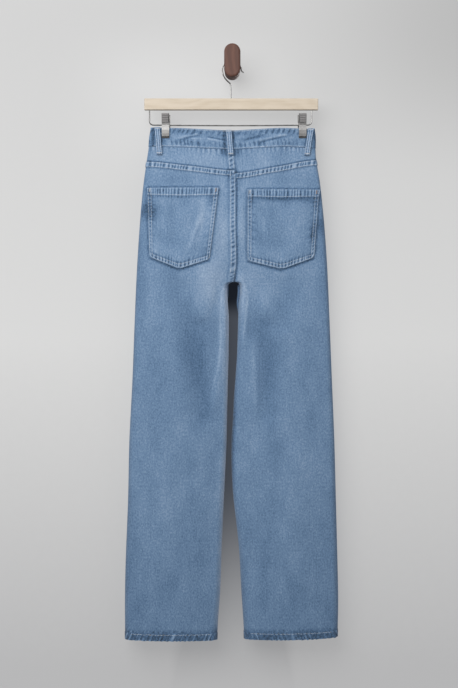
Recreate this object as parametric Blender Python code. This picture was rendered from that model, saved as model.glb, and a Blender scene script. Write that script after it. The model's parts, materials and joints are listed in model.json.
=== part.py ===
"""Wide leg jeans on a clip hanger, hooked over a round wall peg.

Units in this file are millimetres; every point is turned into metres when its mesh is made. The origin is the
middle of the peg's round back face, which lies on the wall: +Y runs into the wall, -Y into the room, +Z is up.
The jeans' back faces the room. "Left" and "right" are the wearer's, which here are also -X and +X.
"Drop" is a height counted down from the top edge of the waist.
"""

import math
from collections import namedtuple

import bmesh
import bpy
from mathutils import Vector

MM = 0.001

# ---------------------------------------------------------------- driving dimensions
HANG_Y = -42.0  # the plane of the hook, the wires and both side seams
WAIST_Z = -124.4  # drop 0
CLOTH = 1.2  # denim, one layer
SEAM_GAP = 0.3  # between two pieces that are sewn together
FELL = 1.4  # how far a folded-over seam stands out
FELL_WIDTH = 14.0
YOKE_FELL = 10.5
STEP_WIDTH = 1.2  # how soon a raised band ends

BAND_HEIGHT = 40.0  # waistband
BAND_OUT = 0.7
BAND_IN = 1.9
FRONT_DIP = 12.0  # the front of the waist hangs this much lower in the middle
FLY_X = 3.0  # centre front
OVERLAP = 33.0  # the waistband's end runs on under the other one

CROTCH_X = 5.0
CROTCH_DROP = 323.0
CROTCH_RISE = 45.0  # how far up the seat seam is still curving under
ARCH = 6.0  # height of the arch between the legs
HEM_DROP = 1074.0
HEM_HEIGHT = 14.5
HEM_OUT = 0.7
HEM_IN = 0.8

ROUND_SHARE = 0.5  # the side folds' radius as a share of the depth
ARC_STEPS = 4
SPAN_STEPS = 8

CLIP_X = (-140.1, 147.6)
CLIP_DEPTH = 2.9  # half of the waist's thickness where a clip holds it
CLIP_HALF_WIDTH = 7.9

Outline = namedtuple("Outline", "drop left right")
OUTLINE = [
    Outline(0, -171.0, 173.0),
    Outline(20, -174.3, 174.8),
    Outline(42, -175.9, 174.8),
    Outline(67, -179.5, 176.4),
    Outline(109, -185.5, 183.4),
    Outline(151, -190.1, 188.4),
    Outline(214, -195.2, 194.3),
    Outline(298, -200.5, 199.9),
    Outline(403, -205.1, 204.4),
    Outline(529, -209.9, 209.4),
    Outline(655, -216.3, 214.5),
    Outline(781, -219.1, 217.8),
    Outline(907, -224.0, 221.0),
    Outline(991, -225.6, 222.6),
    Outline(1080, -225.2, 221.2),
]

LegGap = namedtuple("LegGap", "drop left right")
LEG_GAP = [
    LegGap(323, -10.3, 16.4),
    LegGap(347, -10.3, 16.4),
    LegGap(370, -9.2, 13.7),
    LegGap(397, -7.4, 12.4),
    LegGap(439, -7.4, 11.3),
    LegGap(483, -8.0, 9.5),
    LegGap(529, -9.2, 6.3),
    LegGap(575, -10.3, 2.9),
    LegGap(613, -11.1, 1.1),
    LegGap(655, -12.0, -1.7),
    LegGap(710, -14.3, -1.4),
    LegGap(769, -17.2, 1.7),
    LegGap(880, -22.3, 13.7),
    LegGap(964, -25.0, 18.5),
    LegGap(1080, -31.6, 24.6),
]

Depth = namedtuple("Depth", "drop back front")
DEPTH = [
    Depth(0, 7.0, 7.0),
    Depth(40, 8.0, 7.6),
    Depth(80, 10.5, 9.0),
    Depth(150, 15.0, 12.0),
    Depth(230, 18.0, 14.0),
    Depth(323, 18.0, 15.5),
    Depth(420, 19.5, 17.0),
    Depth(600, 21.0, 19.0),
    Depth(800, 23.5, 21.0),
    Depth(1080, 26.0, 24.0),
]

CentreSeam = namedtuple("CentreSeam", "drop back")
CENTRE_SEAM = [
    CentreSeam(0, -1.0),
    CentreSeam(60, 3.5),
    CentreSeam(110, 7.2),
    CentreSeam(200, 7.2),
    CentreSeam(280, 8.6),
    CentreSeam(323, CROTCH_X),
]

WaistEdge = namedtuple("WaistEdge", "x top")
WAIST_EDGE = [
    WaistEdge(-175, -0.8),
    WaistEdge(-118, 0.4),
    WaistEdge(-68, 2.9),
    WaistEdge(-10, 6.0),
    WaistEdge(6, 5.9),
    WaistEdge(54, 2.9),
    WaistEdge(111, 0.2),
    WaistEdge(175, 2.3),
]

YokeSeam = namedtuple("YokeSeam", "x drop")
YOKE_SEAM = {
    "left": [YokeSeam(-183, 71.0), YokeSeam(-90, 80.0), YokeSeam(8, 90.0)],
    "right": [YokeSeam(0, 96.0), YokeSeam(90, 82.5), YokeSeam(183, 67.5)],
}

HEM_LIFT = {"left": (0.0, 1.0), "right": (2.0, 6.0)}  # of the inner and the outer corner

# Broad folds: a line from top to low end, soft on both sides. Height is out of the garment, or in where negative.
Fold = namedtuple("Fold", "face x_top x_mid x_low drop_top drop_low half_width height")
FOLDS = [
    Fold("back", -120, -76, -57, 280, 660, 30, -6.0),
    Fold("back", -50, -58, -50, 255, 420, 34, 4.0),
    Fold("back", 38, 44, 40, 420, 640, 20, 3.0),
    Fold("back", 60, 70, 74, 370, 640, 28, -6.0),
    Fold("back", 112, 108, 96, 300, 440, 28, -3.5),
    Fold("back", -150, -140, -148, 560, 980, 32, 2.5),
    Fold("back", 140, 128, 140, 640, 1010, 34, 2.5),
    Fold("front", -104, -82, -66, 290, 640, 30, -5.0),
    Fold("front", 112, 88, 78, 300, 650, 30, -5.0),
    Fold("front", -60, -52, -30, 180, 300, 22, 3.5),
    Fold("front", 64, 55, 34, 190, 300, 22, 3.5),
    Fold("front", 146, 132, 142, 600, 990, 32, 2.5),
    Fold("front", -146, -134, -140, 640, 1000, 32, 2.5),
]

POCKET_OUT = (0.8, 2.0)  # from the panel to the pocket's inner and outer side
POCKET_HEM_OUT = 0.8
POCKET_HEM = 15.0
Pocket = namedtuple("Pocket", "top_left top_right low_left low_right top drop_left drop_right point_x point_drop")
POCKETS = {
    "left": Pocket(-178.0, -28.2, -173.5, -46.8, 126.4, 271.5, 276.5, -111.0, 296.5),
    "right": Pocket(31.8, 182.5, 31.4, 171.6, 130.2, 279.0, 272.5, 103.0, 297.5),
}

LOOP_HALF_WIDTH = 5.8
LOOP_THICK = 2.0
LOOP_BOW = 1.5  # the middle of a belt loop stands off the waistband
Loop = namedtuple("Loop", "name face x_top x_low drop_top drop_low")
LOOPS = [
    Loop("belt_loop_back", "back", -7.4, -3.2, 5.5, 57.5),
    Loop("belt_loop_side_left", "back", -157.6, -152.9, -1.2, 56.0),
    Loop("belt_loop_side_right", "back", 165.0, 156.4, 1.5, 57.5),
    Loop("belt_loop_front_left", "front", -92.0, -94.0, 4.5, 61.0),
    Loop("belt_loop_front_right", "front", 96.0, 98.0, 4.5, 61.0),
]

SCOOP_INSET = 72.0  # the front pocket opens this far in from the side seam, at the waistband
SCOOP_DROP = 122.0  # and reaches the side seam here
FACING_UNDER = 18.0
FACING_SLACK = 0.6

FLY_LENGTH = 150.0
FLY_HALF_WIDTH = 17.0
ZIP_LENGTH = 128.0
ZIP_HALF_WIDTH = 12.0
BUTTON_RADIUS = 8.5

BAR_X = -2.2
BAR_LENGTH = 365.0
BAR_HEIGHT = 24.0
BAR_THICK = 12.0
BAR_TOP = -62.7
WIRE_RADIUS = 1.4
WIRE_X = (-173.9, 166.7)
WIRE_Z = -118.0
WIRE_CORNER = 8.0
HOOK_CENTRE = (-1.0, -2.2)
HOOK_RADIUS = 20.0
SHANK_X = -2.9
PEG_RADIUS = 16.0
PEG_REACH = 57.7
PLATE_WIDTH = 34.0
PLATE_HEIGHT = 70.0
PLATE_THICK = 14.0
PLATE_Z = 13.6

SIGN = {"left": -1.0, "right": 1.0}
OUTWARD = {"back": -1.0, "front": 1.0}


# ---------------------------------------------------------------- reading the tables
def read(table, value, column, key="drop"):
    """A smooth curve through one column of a table."""
    rows = [(getattr(row, key), getattr(row, column)) for row in table]
    if value <= rows[0][0]:
        return rows[0][1]
    if value >= rows[-1][0]:
        return rows[-1][1]
    i = max(k for k in range(len(rows) - 1) if rows[k][0] <= value)

    def slope(k):
        if k == 0 or k == len(rows) - 1:
            return 0.0
        return (rows[k + 1][1] - rows[k - 1][1]) / (rows[k + 1][0] - rows[k - 1][0])

    (x0, y0), (x1, y1) = rows[i], rows[i + 1]
    step = x1 - x0
    t = (value - x0) / step
    return (
        y0 * (2 * t**3 - 3 * t**2 + 1)
        + slope(i) * step * (t**3 - 2 * t**2 + t)
        + y1 * (3 * t**2 - 2 * t**3)
        + slope(i + 1) * step * (t**3 - t**2)
    )


def smooth(value, low, high):
    t = min(max((value - low) / (high - low), 0.0), 1.0)
    return t * t * (3.0 - 2.0 * t)


def mix(a, b, share):
    return a + (b - a) * share


def quarter(share):
    """Rises from 0 to 1 like a quarter of a circle."""
    return math.sqrt(max(0.0, 1.0 - (1.0 - min(max(share, 0.0), 1.0)) ** 2))


# ---------------------------------------------------------------- the garment's surface
def side_x(half, drop):
    return read(OUTLINE, drop, half)


def inner_x(half, face, drop):
    """Where a panel starts: the centre seam down to the crotch, then the inseam."""
    if drop >= CROTCH_DROP:
        share = quarter((drop - CROTCH_DROP) / ARCH)
        return mix(CROTCH_X, read(LEG_GAP, drop, half), share)
    if face == "back":
        return read(CENTRE_SEAM, drop, "back")
    return mix(FLY_X, CROTCH_X, smooth(drop, 150.0, CROTCH_DROP))


def fold_height(face, x, drop):
    height = 0.0
    for fold in FOLDS:
        if fold.face != face or not fold.drop_top < drop < fold.drop_low:
            continue
        t = (drop - fold.drop_top) / (fold.drop_low - fold.drop_top)
        bend = fold.x_mid - 0.5 * (fold.x_top + fold.x_low)
        centre = mix(fold.x_top, fold.x_low, t) + 4.0 * bend * t * (1.0 - t)
        off = (x - centre) / fold.half_width
        height += fold.height * math.sin(math.pi * t) ** 0.7 * math.exp(-off * off)
    return height


def pinch(x, drop):
    """1 where a clip presses the waist flat, 0 away from it."""
    nearest = min(abs(x - clip) for clip in CLIP_X)
    return (1.0 - smooth(nearest, 13.0, 48.0)) * (1.0 - smooth(drop, 26.0, 85.0))


def depth_at(half, face, x, drop):
    """How far the cloth's outside lies from the plane of the side seams."""
    inner = inner_x(half, face, drop)
    side = side_x(half, drop)
    width = abs(side - inner)
    from_inner = min(max((x - inner) * SIGN[half], 0.0), width)
    across = from_inner / width
    full = read(DEPTH, drop, face)
    radius = ROUND_SHARE * full
    legs = smooth(drop, CROTCH_DROP - 130.0, CROTCH_DROP + 60.0)
    body_hump = math.cos(0.5 * math.pi * across) ** 0.8
    leg_hump = math.sin(math.pi * across) ** 0.8
    hump = mix(body_hump, leg_hump, legs)
    depth = full * mix(ROUND_SHARE, 1.0, hump) + fold_height(face, x, drop)
    depth = mix(depth, CLIP_DEPTH, pinch(x, drop))
    joined = quarter((CROTCH_DROP - drop) / CROTCH_RISE) if drop < CROTCH_DROP else 0.0
    inner_round = mix(quarter(from_inner / radius), 1.0, joined)
    return depth * inner_round * quarter((width - from_inner) / min(radius, depth))


def hang(face, x, depth, drop):
    return Vector((x, HANG_Y + OUTWARD[face] * depth, WAIST_Z - drop))


def cloth_point(half, face, x, drop):
    depth = max(depth_at(half, face, x, drop), 0.5 * SEAM_GAP)
    return hang(face, x, depth, drop)


def on_cloth(face, x, drop, out):
    """A point laid on the cloth, moved out along the cloth's normal."""
    half = "left" if x < inner_x("left", face, drop) else "right"
    step = 2.0
    across = cloth_point(half, face, x + step, drop) - cloth_point(half, face, x - step, drop)
    down = cloth_point(half, face, x, drop + step) - cloth_point(half, face, x, drop - step)
    normal = across.cross(down).normalized()
    if normal.y * OUTWARD[face] < 0.0:
        normal.negate()
    return cloth_point(half, face, x, drop) + normal * out


def arc_inset(step):
    return 1.0 - math.cos(0.5 * math.pi * step / ARC_STEPS)


BODY_COLUMNS = (0.0, 4.6, 9.2, FELL_WIDTH, FELL_WIDTH + STEP_WIDTH)
COLUMNS = 2 * ARC_STEPS + SPAN_STEPS


def column_x(half, face, column, drop, reach=None):
    """The x of a panel's column: close together round the folds, even between them.

    reach is how far from the centre the panel ends, where that is short of the side seam.
    """
    inner = inner_x(half, face, drop)
    width = abs(side_x(half, drop) - inner)
    full = read(DEPTH, drop, face)
    radius = ROUND_SHARE * full
    legs = smooth(drop, CROTCH_DROP - 20.0, CROTCH_DROP + 10.0)

    def start(step):
        return mix(BODY_COLUMNS[step], radius * arc_inset(step), legs)

    def end(step):
        return width - radius * arc_inset(step)

    if column <= ARC_STEPS:
        run = start(column)
    elif column >= COLUMNS - ARC_STEPS:
        run = end(COLUMNS - column)
    else:
        run = mix(start(ARC_STEPS), end(ARC_STEPS), (column - ARC_STEPS) / SPAN_STEPS)
    if reach is not None and column > ARC_STEPS:
        first = start(ARC_STEPS)
        run = first + (run - first) * (reach - first) / (width - first)
    if drop <= CROTCH_DROP:
        run = max(run, 0.5 * SEAM_GAP)
    return inner + SIGN[half] * run


# ---------------------------------------------------------------- meshes
def finish(name, colour, roughness, metallic=0.0):
    material = bpy.data.materials.new(name)
    material.use_nodes = True
    shader = material.node_tree.nodes["Principled BSDF"]
    shader.inputs["Base Color"].default_value = (*colour, 1.0)
    shader.inputs["Roughness"].default_value = roughness
    shader.inputs["Metallic"].default_value = metallic
    material.diffuse_color = (*colour, 1.0)
    return material


def add_object(name, form, colour, roughness, metallic=0.0, sharp=40.0):
    """One closed piece from a bmesh in millimetres."""
    bmesh.ops.scale(form, vec=(MM, MM, MM), verts=form.verts)
    bmesh.ops.recalc_face_normals(form, faces=form.faces)
    mesh = bpy.data.meshes.new(name)
    form.to_mesh(mesh)
    form.free()
    mesh.shade_smooth()
    mesh.set_sharp_from_angle(angle=math.radians(sharp))
    mesh.materials.append(finish(name, colour, roughness, metallic))
    piece = bpy.data.objects.new(name, mesh)
    bpy.context.scene.collection.objects.link(piece)
    return piece


def grid_normals(points, face, first_ghosts, last_ghosts):
    """The outward normal at each point of a grid; ghosts stand just past its first and last columns."""
    normals = []
    count = len(points)
    for i, row in enumerate(points):
        line = []
        for j, point in enumerate(row):
            before = row[j - 1] if j > 0 else first_ghosts[i]
            after = row[j + 1] if j + 1 < len(row) else last_ghosts[i]
            above = points[max(i - 1, 0)][j]
            below = points[min(i + 1, count - 1)][j]
            normal = (after - before).cross(below - above)
            line.append(normal.normalized())
        normals.append(line)
    middle = normals[count // 2][len(points[0]) // 2]
    if middle.y * OUTWARD[face] < 0.0:
        normals = [[-normal for normal in line] for line in normals]
    return normals


def wall(name, points, normals, outer, inner, colour):
    """A cloth wall on a grid of points: outer and inner give how far each side lies along the normal."""
    form = bmesh.new()
    rows = len(points)
    columns = len(points[0])
    layers = []
    for reach in (outer, inner):
        layer = []
        for i in range(rows):
            line = []
            for j in range(columns):
                line.append(form.verts.new(points[i][j] + normals[i][j] * reach(i, j)))
            layer.append(line)
        layers.append(layer)
    for layer in layers:
        for i in range(rows - 1):
            for j in range(columns - 1):
                form.faces.new((layer[i][j], layer[i][j + 1], layer[i + 1][j + 1], layer[i + 1][j]))
    top, back = layers
    for i in (0, rows - 1):
        for j in range(columns - 1):
            form.faces.new((top[i][j], top[i][j + 1], back[i][j + 1], back[i][j]))
    for j in (0, columns - 1):
        for i in range(rows - 1):
            form.faces.new((top[i][j], top[i + 1][j], back[i + 1][j], back[i][j]))
    return add_object(name, form, colour, 0.9)


def mirrored_in_depth(point):
    return Vector((point.x, 2.0 * HANG_Y - point.y, point.z))


def panel_grid(half, face, rows, reach=None):
    """Points and normals of a panel. rows holds, for each row, a function from x to drop."""
    points, drops = [], []
    for row_drop in rows:
        line, line_drops = [], []
        for column in range(COLUMNS + 1):
            drop = row_drop(0.5 * (inner_x(half, face, 400.0) + side_x(half, 200.0)))
            for _ in range(3):
                stop = reach(drop) if reach else None
                x = column_x(half, face, column, drop, stop)
                drop = row_drop(x)
            line.append(cloth_point(half, face, x, drop))
            line_drops.append(drop)
        points.append(line)
        drops.append(line_drops)
    first, last = [], []
    for line, line_drops in zip(points, drops):
        if line_drops[0] > CROTCH_DROP:
            first.append(mirrored_in_depth(line[1]))
        else:
            first.append(Vector((2.0 * line[0].x - line[1].x, line[1].y, line[1].z)))
        if reach and reach(line_drops[-1]) is not None:
            last.append(2.0 * line[-1] - line[-2])
        else:
            last.append(mirrored_in_depth(line[-2]))
    normals = grid_normals(points, face, first, last)
    for i, line_drops in enumerate(drops):
        if abs(line_drops[0] - CROTCH_DROP) < 0.01:
            normals[i][0] = Vector((0.0, 0.0, -1.0))
    return points, normals, drops


# ---------------------------------------------------------------- edges of the pieces, as drops
def waist_top(face, x):
    top = read(WAIST_EDGE, x, "top", key="x")
    if face == "front":
        top += FRONT_DIP * (1.0 - smooth(abs(x - 3.0), 10.0, 140.0))
    return top


def waist_seam(face, x):
    return waist_top(face, x) + BAND_HEIGHT


def yoke_seam(half, x):
    return read(YOKE_SEAM[half], x, "drop", key="x")


def hem_line(half, x):
    inner = read(LEG_GAP, HEM_DROP, half)
    side = side_x(half, HEM_DROP)
    across = min(max((x - inner) / (side - inner), 0.0), 1.0)
    low, high = HEM_LIFT[half]
    return HEM_DROP - mix(low, high, across**3)


BODY_ROWS = (0.18, 0.34, 0.5, 0.65, 0.78, 0.87, 0.935, 0.98, 1.0)
LEG_ROWS = (0.0009, 0.0035, 0.009, 0.03, 0.08, 0.14, 0.2, 0.27, 0.34, 0.42, 0.51, 0.62, 0.74, 0.87)


def lower_rows(half, top_edge):
    """Rows from a panel's top edge to the crotch and on to the hem."""
    rows = []
    for share in BODY_ROWS:
        rows.append(lambda x, share=share: mix(top_edge(x), CROTCH_DROP, share))
    for share in LEG_ROWS:
        rows.append(lambda x, share=share: mix(CROTCH_DROP, hem_line(half, x), share))
    rows.append(lambda x: hem_line(half, x) - HEM_HEIGHT - STEP_WIDTH)
    rows.append(lambda x: hem_line(half, x) - HEM_HEIGHT)
    rows.append(lambda x: hem_line(half, x))
    return rows


DENIM = (0.22, 0.32, 0.44)


# ---------------------------------------------------------------- back
def make_back(half):
    """Back panel, from the yoke seam to the hem. Its top edge is folded over the yoke's."""
    def top(x):
        return yoke_seam(half, x) + 0.5 * SEAM_GAP

    rows = [
        top,
        lambda x: top(x) + YOKE_FELL,
        lambda x: top(x) + YOKE_FELL + STEP_WIDTH,
    ]
    rows += lower_rows(half, top)
    points, normals, drops = panel_grid(half, "back", rows)
    hem_rows = (len(rows) - 2, len(rows) - 1)

    def outer(i, j):
        out = FELL if i < 2 else 0.0
        if half == "left" and j <= 3:
            seat = 1.0 - smooth(drops[i][j], CROTCH_DROP - 60.0, CROTCH_DROP - 6.0)
            out = max(out, FELL * seat)
        if i in hem_rows:
            out = max(out, HEM_OUT)
        return out

    def inner(i, j):
        return -CLOTH - (HEM_IN if i in hem_rows else 0.0)

    wall("back_" + half, points, normals, outer, inner, DENIM)


def make_yoke(half):
    """Shaped piece between the waistband and the back panel."""
    def edge(share):
        return lambda x: mix(
            waist_seam("back", x) + 0.5 * SEAM_GAP, yoke_seam(half, x) - 0.5 * SEAM_GAP, share
        )

    points, normals, _ = panel_grid(half, "back", [edge(k / 3.0) for k in range(4)])

    def outer(i, j):
        return FELL if half == "left" and j <= 3 else 0.0

    wall("yoke_" + half, points, normals, outer, lambda i, j: -CLOTH, DENIM)


POCKET_COLUMNS = 10
POCKET_SHARES = (0.36, 0.6, 0.82, 0.94, 1.0)


def pocket_spot(pocket, u, level=None, share=None):
    """x and drop on a pocket: u from its left edge to its right, down by a level in mm or a share of its length."""
    if u < 0.5:
        low_x = mix(pocket.low_left, pocket.point_x, 2.0 * u)
        low = mix(pocket.drop_left, pocket.point_drop, 2.0 * u)
    else:
        low_x = mix(pocket.point_x, pocket.low_right, 2.0 * u - 1.0)
        low = mix(pocket.point_drop, pocket.drop_right, 2.0 * u - 1.0)
    if share is None:
        share = level / (low - pocket.top)
    return mix(mix(pocket.top_left, pocket.top_right, u), low_x, share), mix(pocket.top, low, share)


def make_back_pocket(half):
    """Patch pocket: straight top with a turned hem, pointed bottom, laid on the back panel."""
    pocket = POCKETS[half]
    across = [k / POCKET_COLUMNS for k in range(POCKET_COLUMNS + 1)]
    spots = [[pocket_spot(pocket, u, level=level) for u in across] for level in (0.0, POCKET_HEM)]
    spots.append([pocket_spot(pocket, u, level=POCKET_HEM + STEP_WIDTH) for u in across])
    spots += [[pocket_spot(pocket, u, share=share) for u in across] for share in POCKET_SHARES]
    points = [[on_cloth("back", x, drop, 0.0) for x, drop in line] for line in spots]
    raised = [[on_cloth("back", x, drop, 1.0) for x, drop in line] for line in spots]
    normals = [[(b - a).normalized() for a, b in zip(low, high)] for low, high in zip(points, raised)]
    low_side, high_side = POCKET_OUT

    def outer(i, j):
        return high_side + (POCKET_HEM_OUT if i < 2 else 0.0)

    wall("back_pocket_" + half, points, normals, outer, lambda i, j: low_side, DENIM)


# ---------------------------------------------------------------- front
def scoop_reach(half, face_drop):
    """How far from the centre the front panel reaches where the pocket opening cuts it."""
    if face_drop >= SCOOP_DROP:
        return None
    share = min(max((face_drop - BAND_HEIGHT) / (SCOOP_DROP - BAND_HEIGHT), 0.0), 1.0)
    inset = SCOOP_INSET * (1.0 - share**1.8) ** 0.9
    width = abs(side_x(half, face_drop) - inner_x(half, "front", face_drop))
    return width - inset


def make_front(half):
    """Front panel, from the waistband to the hem, with the pocket opening scooped out of its top corner."""
    def top(x):
        return waist_seam("front", x) + 0.5 * SEAM_GAP

    def scoop_end(x):
        return SCOOP_DROP + 0.01

    rows = [lambda x, k=k: mix(top(x), SCOOP_DROP, k) for k in (0.0, 0.25, 0.5, 0.75, 0.92)]
    rows.append(scoop_end)
    rows += lower_rows(half, scoop_end)
    points, normals, drops = panel_grid(half, "front", rows, reach=lambda drop: scoop_reach(half, drop))
    hem_rows = (len(rows) - 2, len(rows) - 1)

    def outer(i, j):
        out = 0.0
        if half == "left" and j <= 1:
            out = 0.8 * (1.0 - smooth(drops[i][j], CROTCH_DROP - 60.0, CROTCH_DROP - 6.0))
        if i in hem_rows:
            out = max(out, HEM_OUT)
        return out

    def inner(i, j):
        return -CLOTH - (HEM_IN if i in hem_rows else 0.0)

    wall("front_" + half, points, normals, outer, inner, DENIM)


def make_pocket_facing(half):
    """The piece of denim seen inside the front pocket's opening."""
    rows_count = 6
    low = SCOOP_DROP - 6.0
    span = 5
    points, first, last = [], [], []
    for i in range(rows_count):
        line = []
        for j in range(span + ARC_STEPS + 1):
            x = 0.5 * side_x(half, 60.0)
            for _ in range(3):
                drop = mix(waist_seam("front", x) + 0.5 * SEAM_GAP, low, i / (rows_count - 1))
                inner = inner_x(half, "front", drop)
                width = abs(side_x(half, drop) - inner)
                radius = ROUND_SHARE * read(DEPTH, drop, "front")
                reach = scoop_reach(half, drop)
                start = min(width if reach is None else reach, width - 14.0) - FACING_UNDER
                if j <= span:
                    run = mix(start, width - radius, j / span)
                else:
                    run = width - radius * arc_inset(span + ARC_STEPS - j)
                x = inner + SIGN[half] * run
            line.append(cloth_point(half, "front", x, drop))
        points.append(line)
        first.append(2.0 * line[0] - line[1])
        last.append(mirrored_in_depth(line[-2]))
    normals = grid_normals(points, "front", first, last)
    outside = -CLOTH - SEAM_GAP - FACING_SLACK
    wall(
        "pocket_facing_" + half, points, normals, lambda i, j: outside, lambda i, j: outside - CLOTH, DENIM
    )


def make_front_strip(name, left, right, top_under, length, outside, thick, colour):
    """A straight strip behind the fly."""
    rows, columns = 6, 4
    points, normals = [], []
    for i in range(rows):
        line, across = [], []
        for j in range(columns):
            x = mix(left, right, j / (columns - 1))
            drop = waist_seam("front", FLY_X) + top_under + length * i / (rows - 1)
            line.append(on_cloth("front", x, drop, 0.0))
            across.append((on_cloth("front", x, drop, 1.0) - on_cloth("front", x, drop, 0.0)).normalized())
        points.append(line)
        normals.append(across)
    wall(name, points, normals, lambda i, j: outside, lambda i, j: outside - thick, colour)


def make_fly():
    """Fly facing behind the left front, the zip behind both fronts, and the shield behind the zip."""
    facing = -CLOTH - SEAM_GAP
    zip_side = facing - 1.0 - SEAM_GAP
    shield = zip_side - 1.2 - SEAM_GAP
    make_front_strip(
        "fly_facing", FLY_X - 2.0 * FLY_HALF_WIDTH, FLY_X - 1.0, 1.0, FLY_LENGTH, facing, 1.0, DENIM
    )
    make_front_strip(
        "zip", FLY_X - ZIP_HALF_WIDTH, FLY_X + ZIP_HALF_WIDTH, 4.0, ZIP_LENGTH, zip_side, 1.2, (0.3, 0.36, 0.42)
    )
    make_front_strip(
        "fly_shield", FLY_X - 20.0, FLY_X + 20.0, 1.0, FLY_LENGTH + 4.0, shield, 1.2, DENIM
    )


# ---------------------------------------------------------------- waistband, loops, button
def band_columns():
    """The waistband's way round: from its covered end at the front, round the back, to its overlapping end."""
    step = 12.5
    columns = []

    def run(face, start, stop):
        count = max(1, round(abs(stop - start) / step))
        for k in range(count):
            columns.append((face, mix(start, stop, k / count)))

    def fold(half, face_in, face_out):
        side = side_x(half, 20.0)
        radius = ROUND_SHARE * 7.2
        for k in range(ARC_STEPS):
            columns.append((face_in, side - SIGN[half] * radius * arc_inset(ARC_STEPS - k)))
        columns.append((face_in, side))
        for k in range(1, ARC_STEPS):
            columns.append((face_out, side - SIGN[half] * radius * arc_inset(k)))

    reach_right = side_x("right", 20.0) - 3.6
    reach_left = side_x("left", 20.0) + 3.6
    run("front", FLY_X - OVERLAP, reach_right)
    fold("right", "front", "back")
    run("back", reach_right, reach_left)
    fold("left", "back", "front")
    run("front", reach_left, FLY_X + 4.0)
    columns.append(("front", FLY_X + 4.0))
    return columns


def make_waistband():
    columns = band_columns()
    shares = (0.0, 0.33, 0.67, 1.0)
    covered = [face == "front" and k < 12 for k, (face, x) in enumerate(columns)]
    points = []
    for share in shares:
        line = []
        for face, x in columns:
            drop = mix(waist_top(face, x), waist_seam(face, x) - 0.5 * SEAM_GAP, share)
            half = "left" if x < FLY_X else "right"
            side20 = side_x(half, 20.0)
            here = x * side_x(half, drop) / side20
            point = cloth_point(half, face, here, drop)
            if abs(x - side20) < 0.01:
                point.y = HANG_Y
            line.append(point)
        points.append(line)
    first = [2.0 * line[0] - line[1] for line in points]
    last = [2.0 * line[-1] - line[-2] for line in points]
    normals = grid_normals(points, "back", first, last)
    under = BAND_OUT + BAND_IN + SEAM_GAP

    def sunk(j):
        if not covered[j]:
            return 0.0
        return under * (1.0 - smooth(columns[j][1], FLY_X + 7.0, FLY_X + 28.0))

    wall(
        "waistband",
        points,
        normals,
        lambda i, j: BAND_OUT - sunk(j),
        lambda i, j: -BAND_IN - sunk(j),
        DENIM,
    )


def make_loop(loop):
    """Belt loop: a folded strip, thicker where its turned ends are tacked down."""
    rows = 9
    points, normals = [], []
    for i in range(rows):
        share = i / (rows - 1)
        x = mix(loop.x_top, loop.x_low, share)
        drop = mix(loop.drop_top, loop.drop_low, share)
        if loop.face == "front":
            drop += waist_top("front", x) - waist_top("back", x)
        line, across = [], []
        for k in (-1.0, 0.0, 1.0):
            at = x + k * LOOP_HALF_WIDTH
            line.append(on_cloth(loop.face, at, drop, 0.0))
            across.append((on_cloth(loop.face, at, drop, 1.0) - line[-1]).normalized())
        points.append(line)
        normals.append(across)

    def low(i, j):
        share = i / (rows - 1)
        return BAND_OUT + SEAM_GAP + 0.2 + FELL * 0.6 + LOOP_BOW * math.sin(math.pi * share)

    def high(i, j):
        end = 0.9 if i in (0, 1, rows - 2, rows - 1) else 0.0
        return low(i, j) + LOOP_THICK + end

    wall(loop.name, points, normals, high, low, DENIM)


def turned(name, profile, centre, axis, colour, roughness, metallic, segments=24):
    """A solid of revolution. profile holds (radius, height along the axis), from end to end."""
    form = bmesh.new()
    turn = Vector((0.0, 0.0, 1.0)).rotation_difference(Vector(axis))
    rings = []
    for radius, height in profile:
        if radius == 0.0:
            rings.append([form.verts.new(Vector(centre) + turn @ Vector((0.0, 0.0, height)))])
            continue
        ring = []
        for k in range(segments):
            angle = 2.0 * math.pi * k / segments
            local = Vector((radius * math.cos(angle), radius * math.sin(angle), height))
            ring.append(form.verts.new(Vector(centre) + turn @ local))
        rings.append(ring)
    for low, high in zip(rings, rings[1:]):
        for k in range(segments):
            m = (k + 1) % segments
            if len(low) == 1:
                form.faces.new((low[0], high[m], high[k]))
            elif len(high) == 1:
                form.faces.new((low[k], low[m], high[0]))
            else:
                form.faces.new((low[k], low[m], high[m], high[k]))
    for ring in (rings[0], rings[-1]):
        if len(ring) > 1:
            form.faces.new(ring)
    return add_object(name, form, colour, roughness, metallic)


def make_button():
    x = FLY_X - 9.0
    drop = waist_top("front", x) + 0.5 * BAND_HEIGHT
    base = on_cloth("front", x, drop, BAND_OUT + SEAM_GAP + 0.4)
    r = BUTTON_RADIUS
    profile = [(r * 0.62, 0.0), (r * 0.94, 0.6), (r, 1.4), (r * 0.95, 2.3), (r * 0.78, 2.6), (r * 0.5, 2.1), (0.0, 2.0)]
    turned("button", profile, base, (0.0, 1.0, 0.0), (0.55, 0.53, 0.5), 0.35, 1.0)


# ---------------------------------------------------------------- hanger
def rounded_box(name, centre, size, bevel, colour, roughness, metallic=0.0, steps=3):
    form = bmesh.new()
    bmesh.ops.create_cube(form, size=1.0)
    bmesh.ops.scale(form, vec=size, verts=form.verts)
    bmesh.ops.bevel(
        form, geom=form.edges[:], offset=bevel, offset_type="OFFSET", segments=steps, profile=0.5, affect="EDGES"
    )
    bmesh.ops.translate(form, vec=centre, verts=form.verts)
    return add_object(name, form, colour, roughness, metallic)


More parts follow.
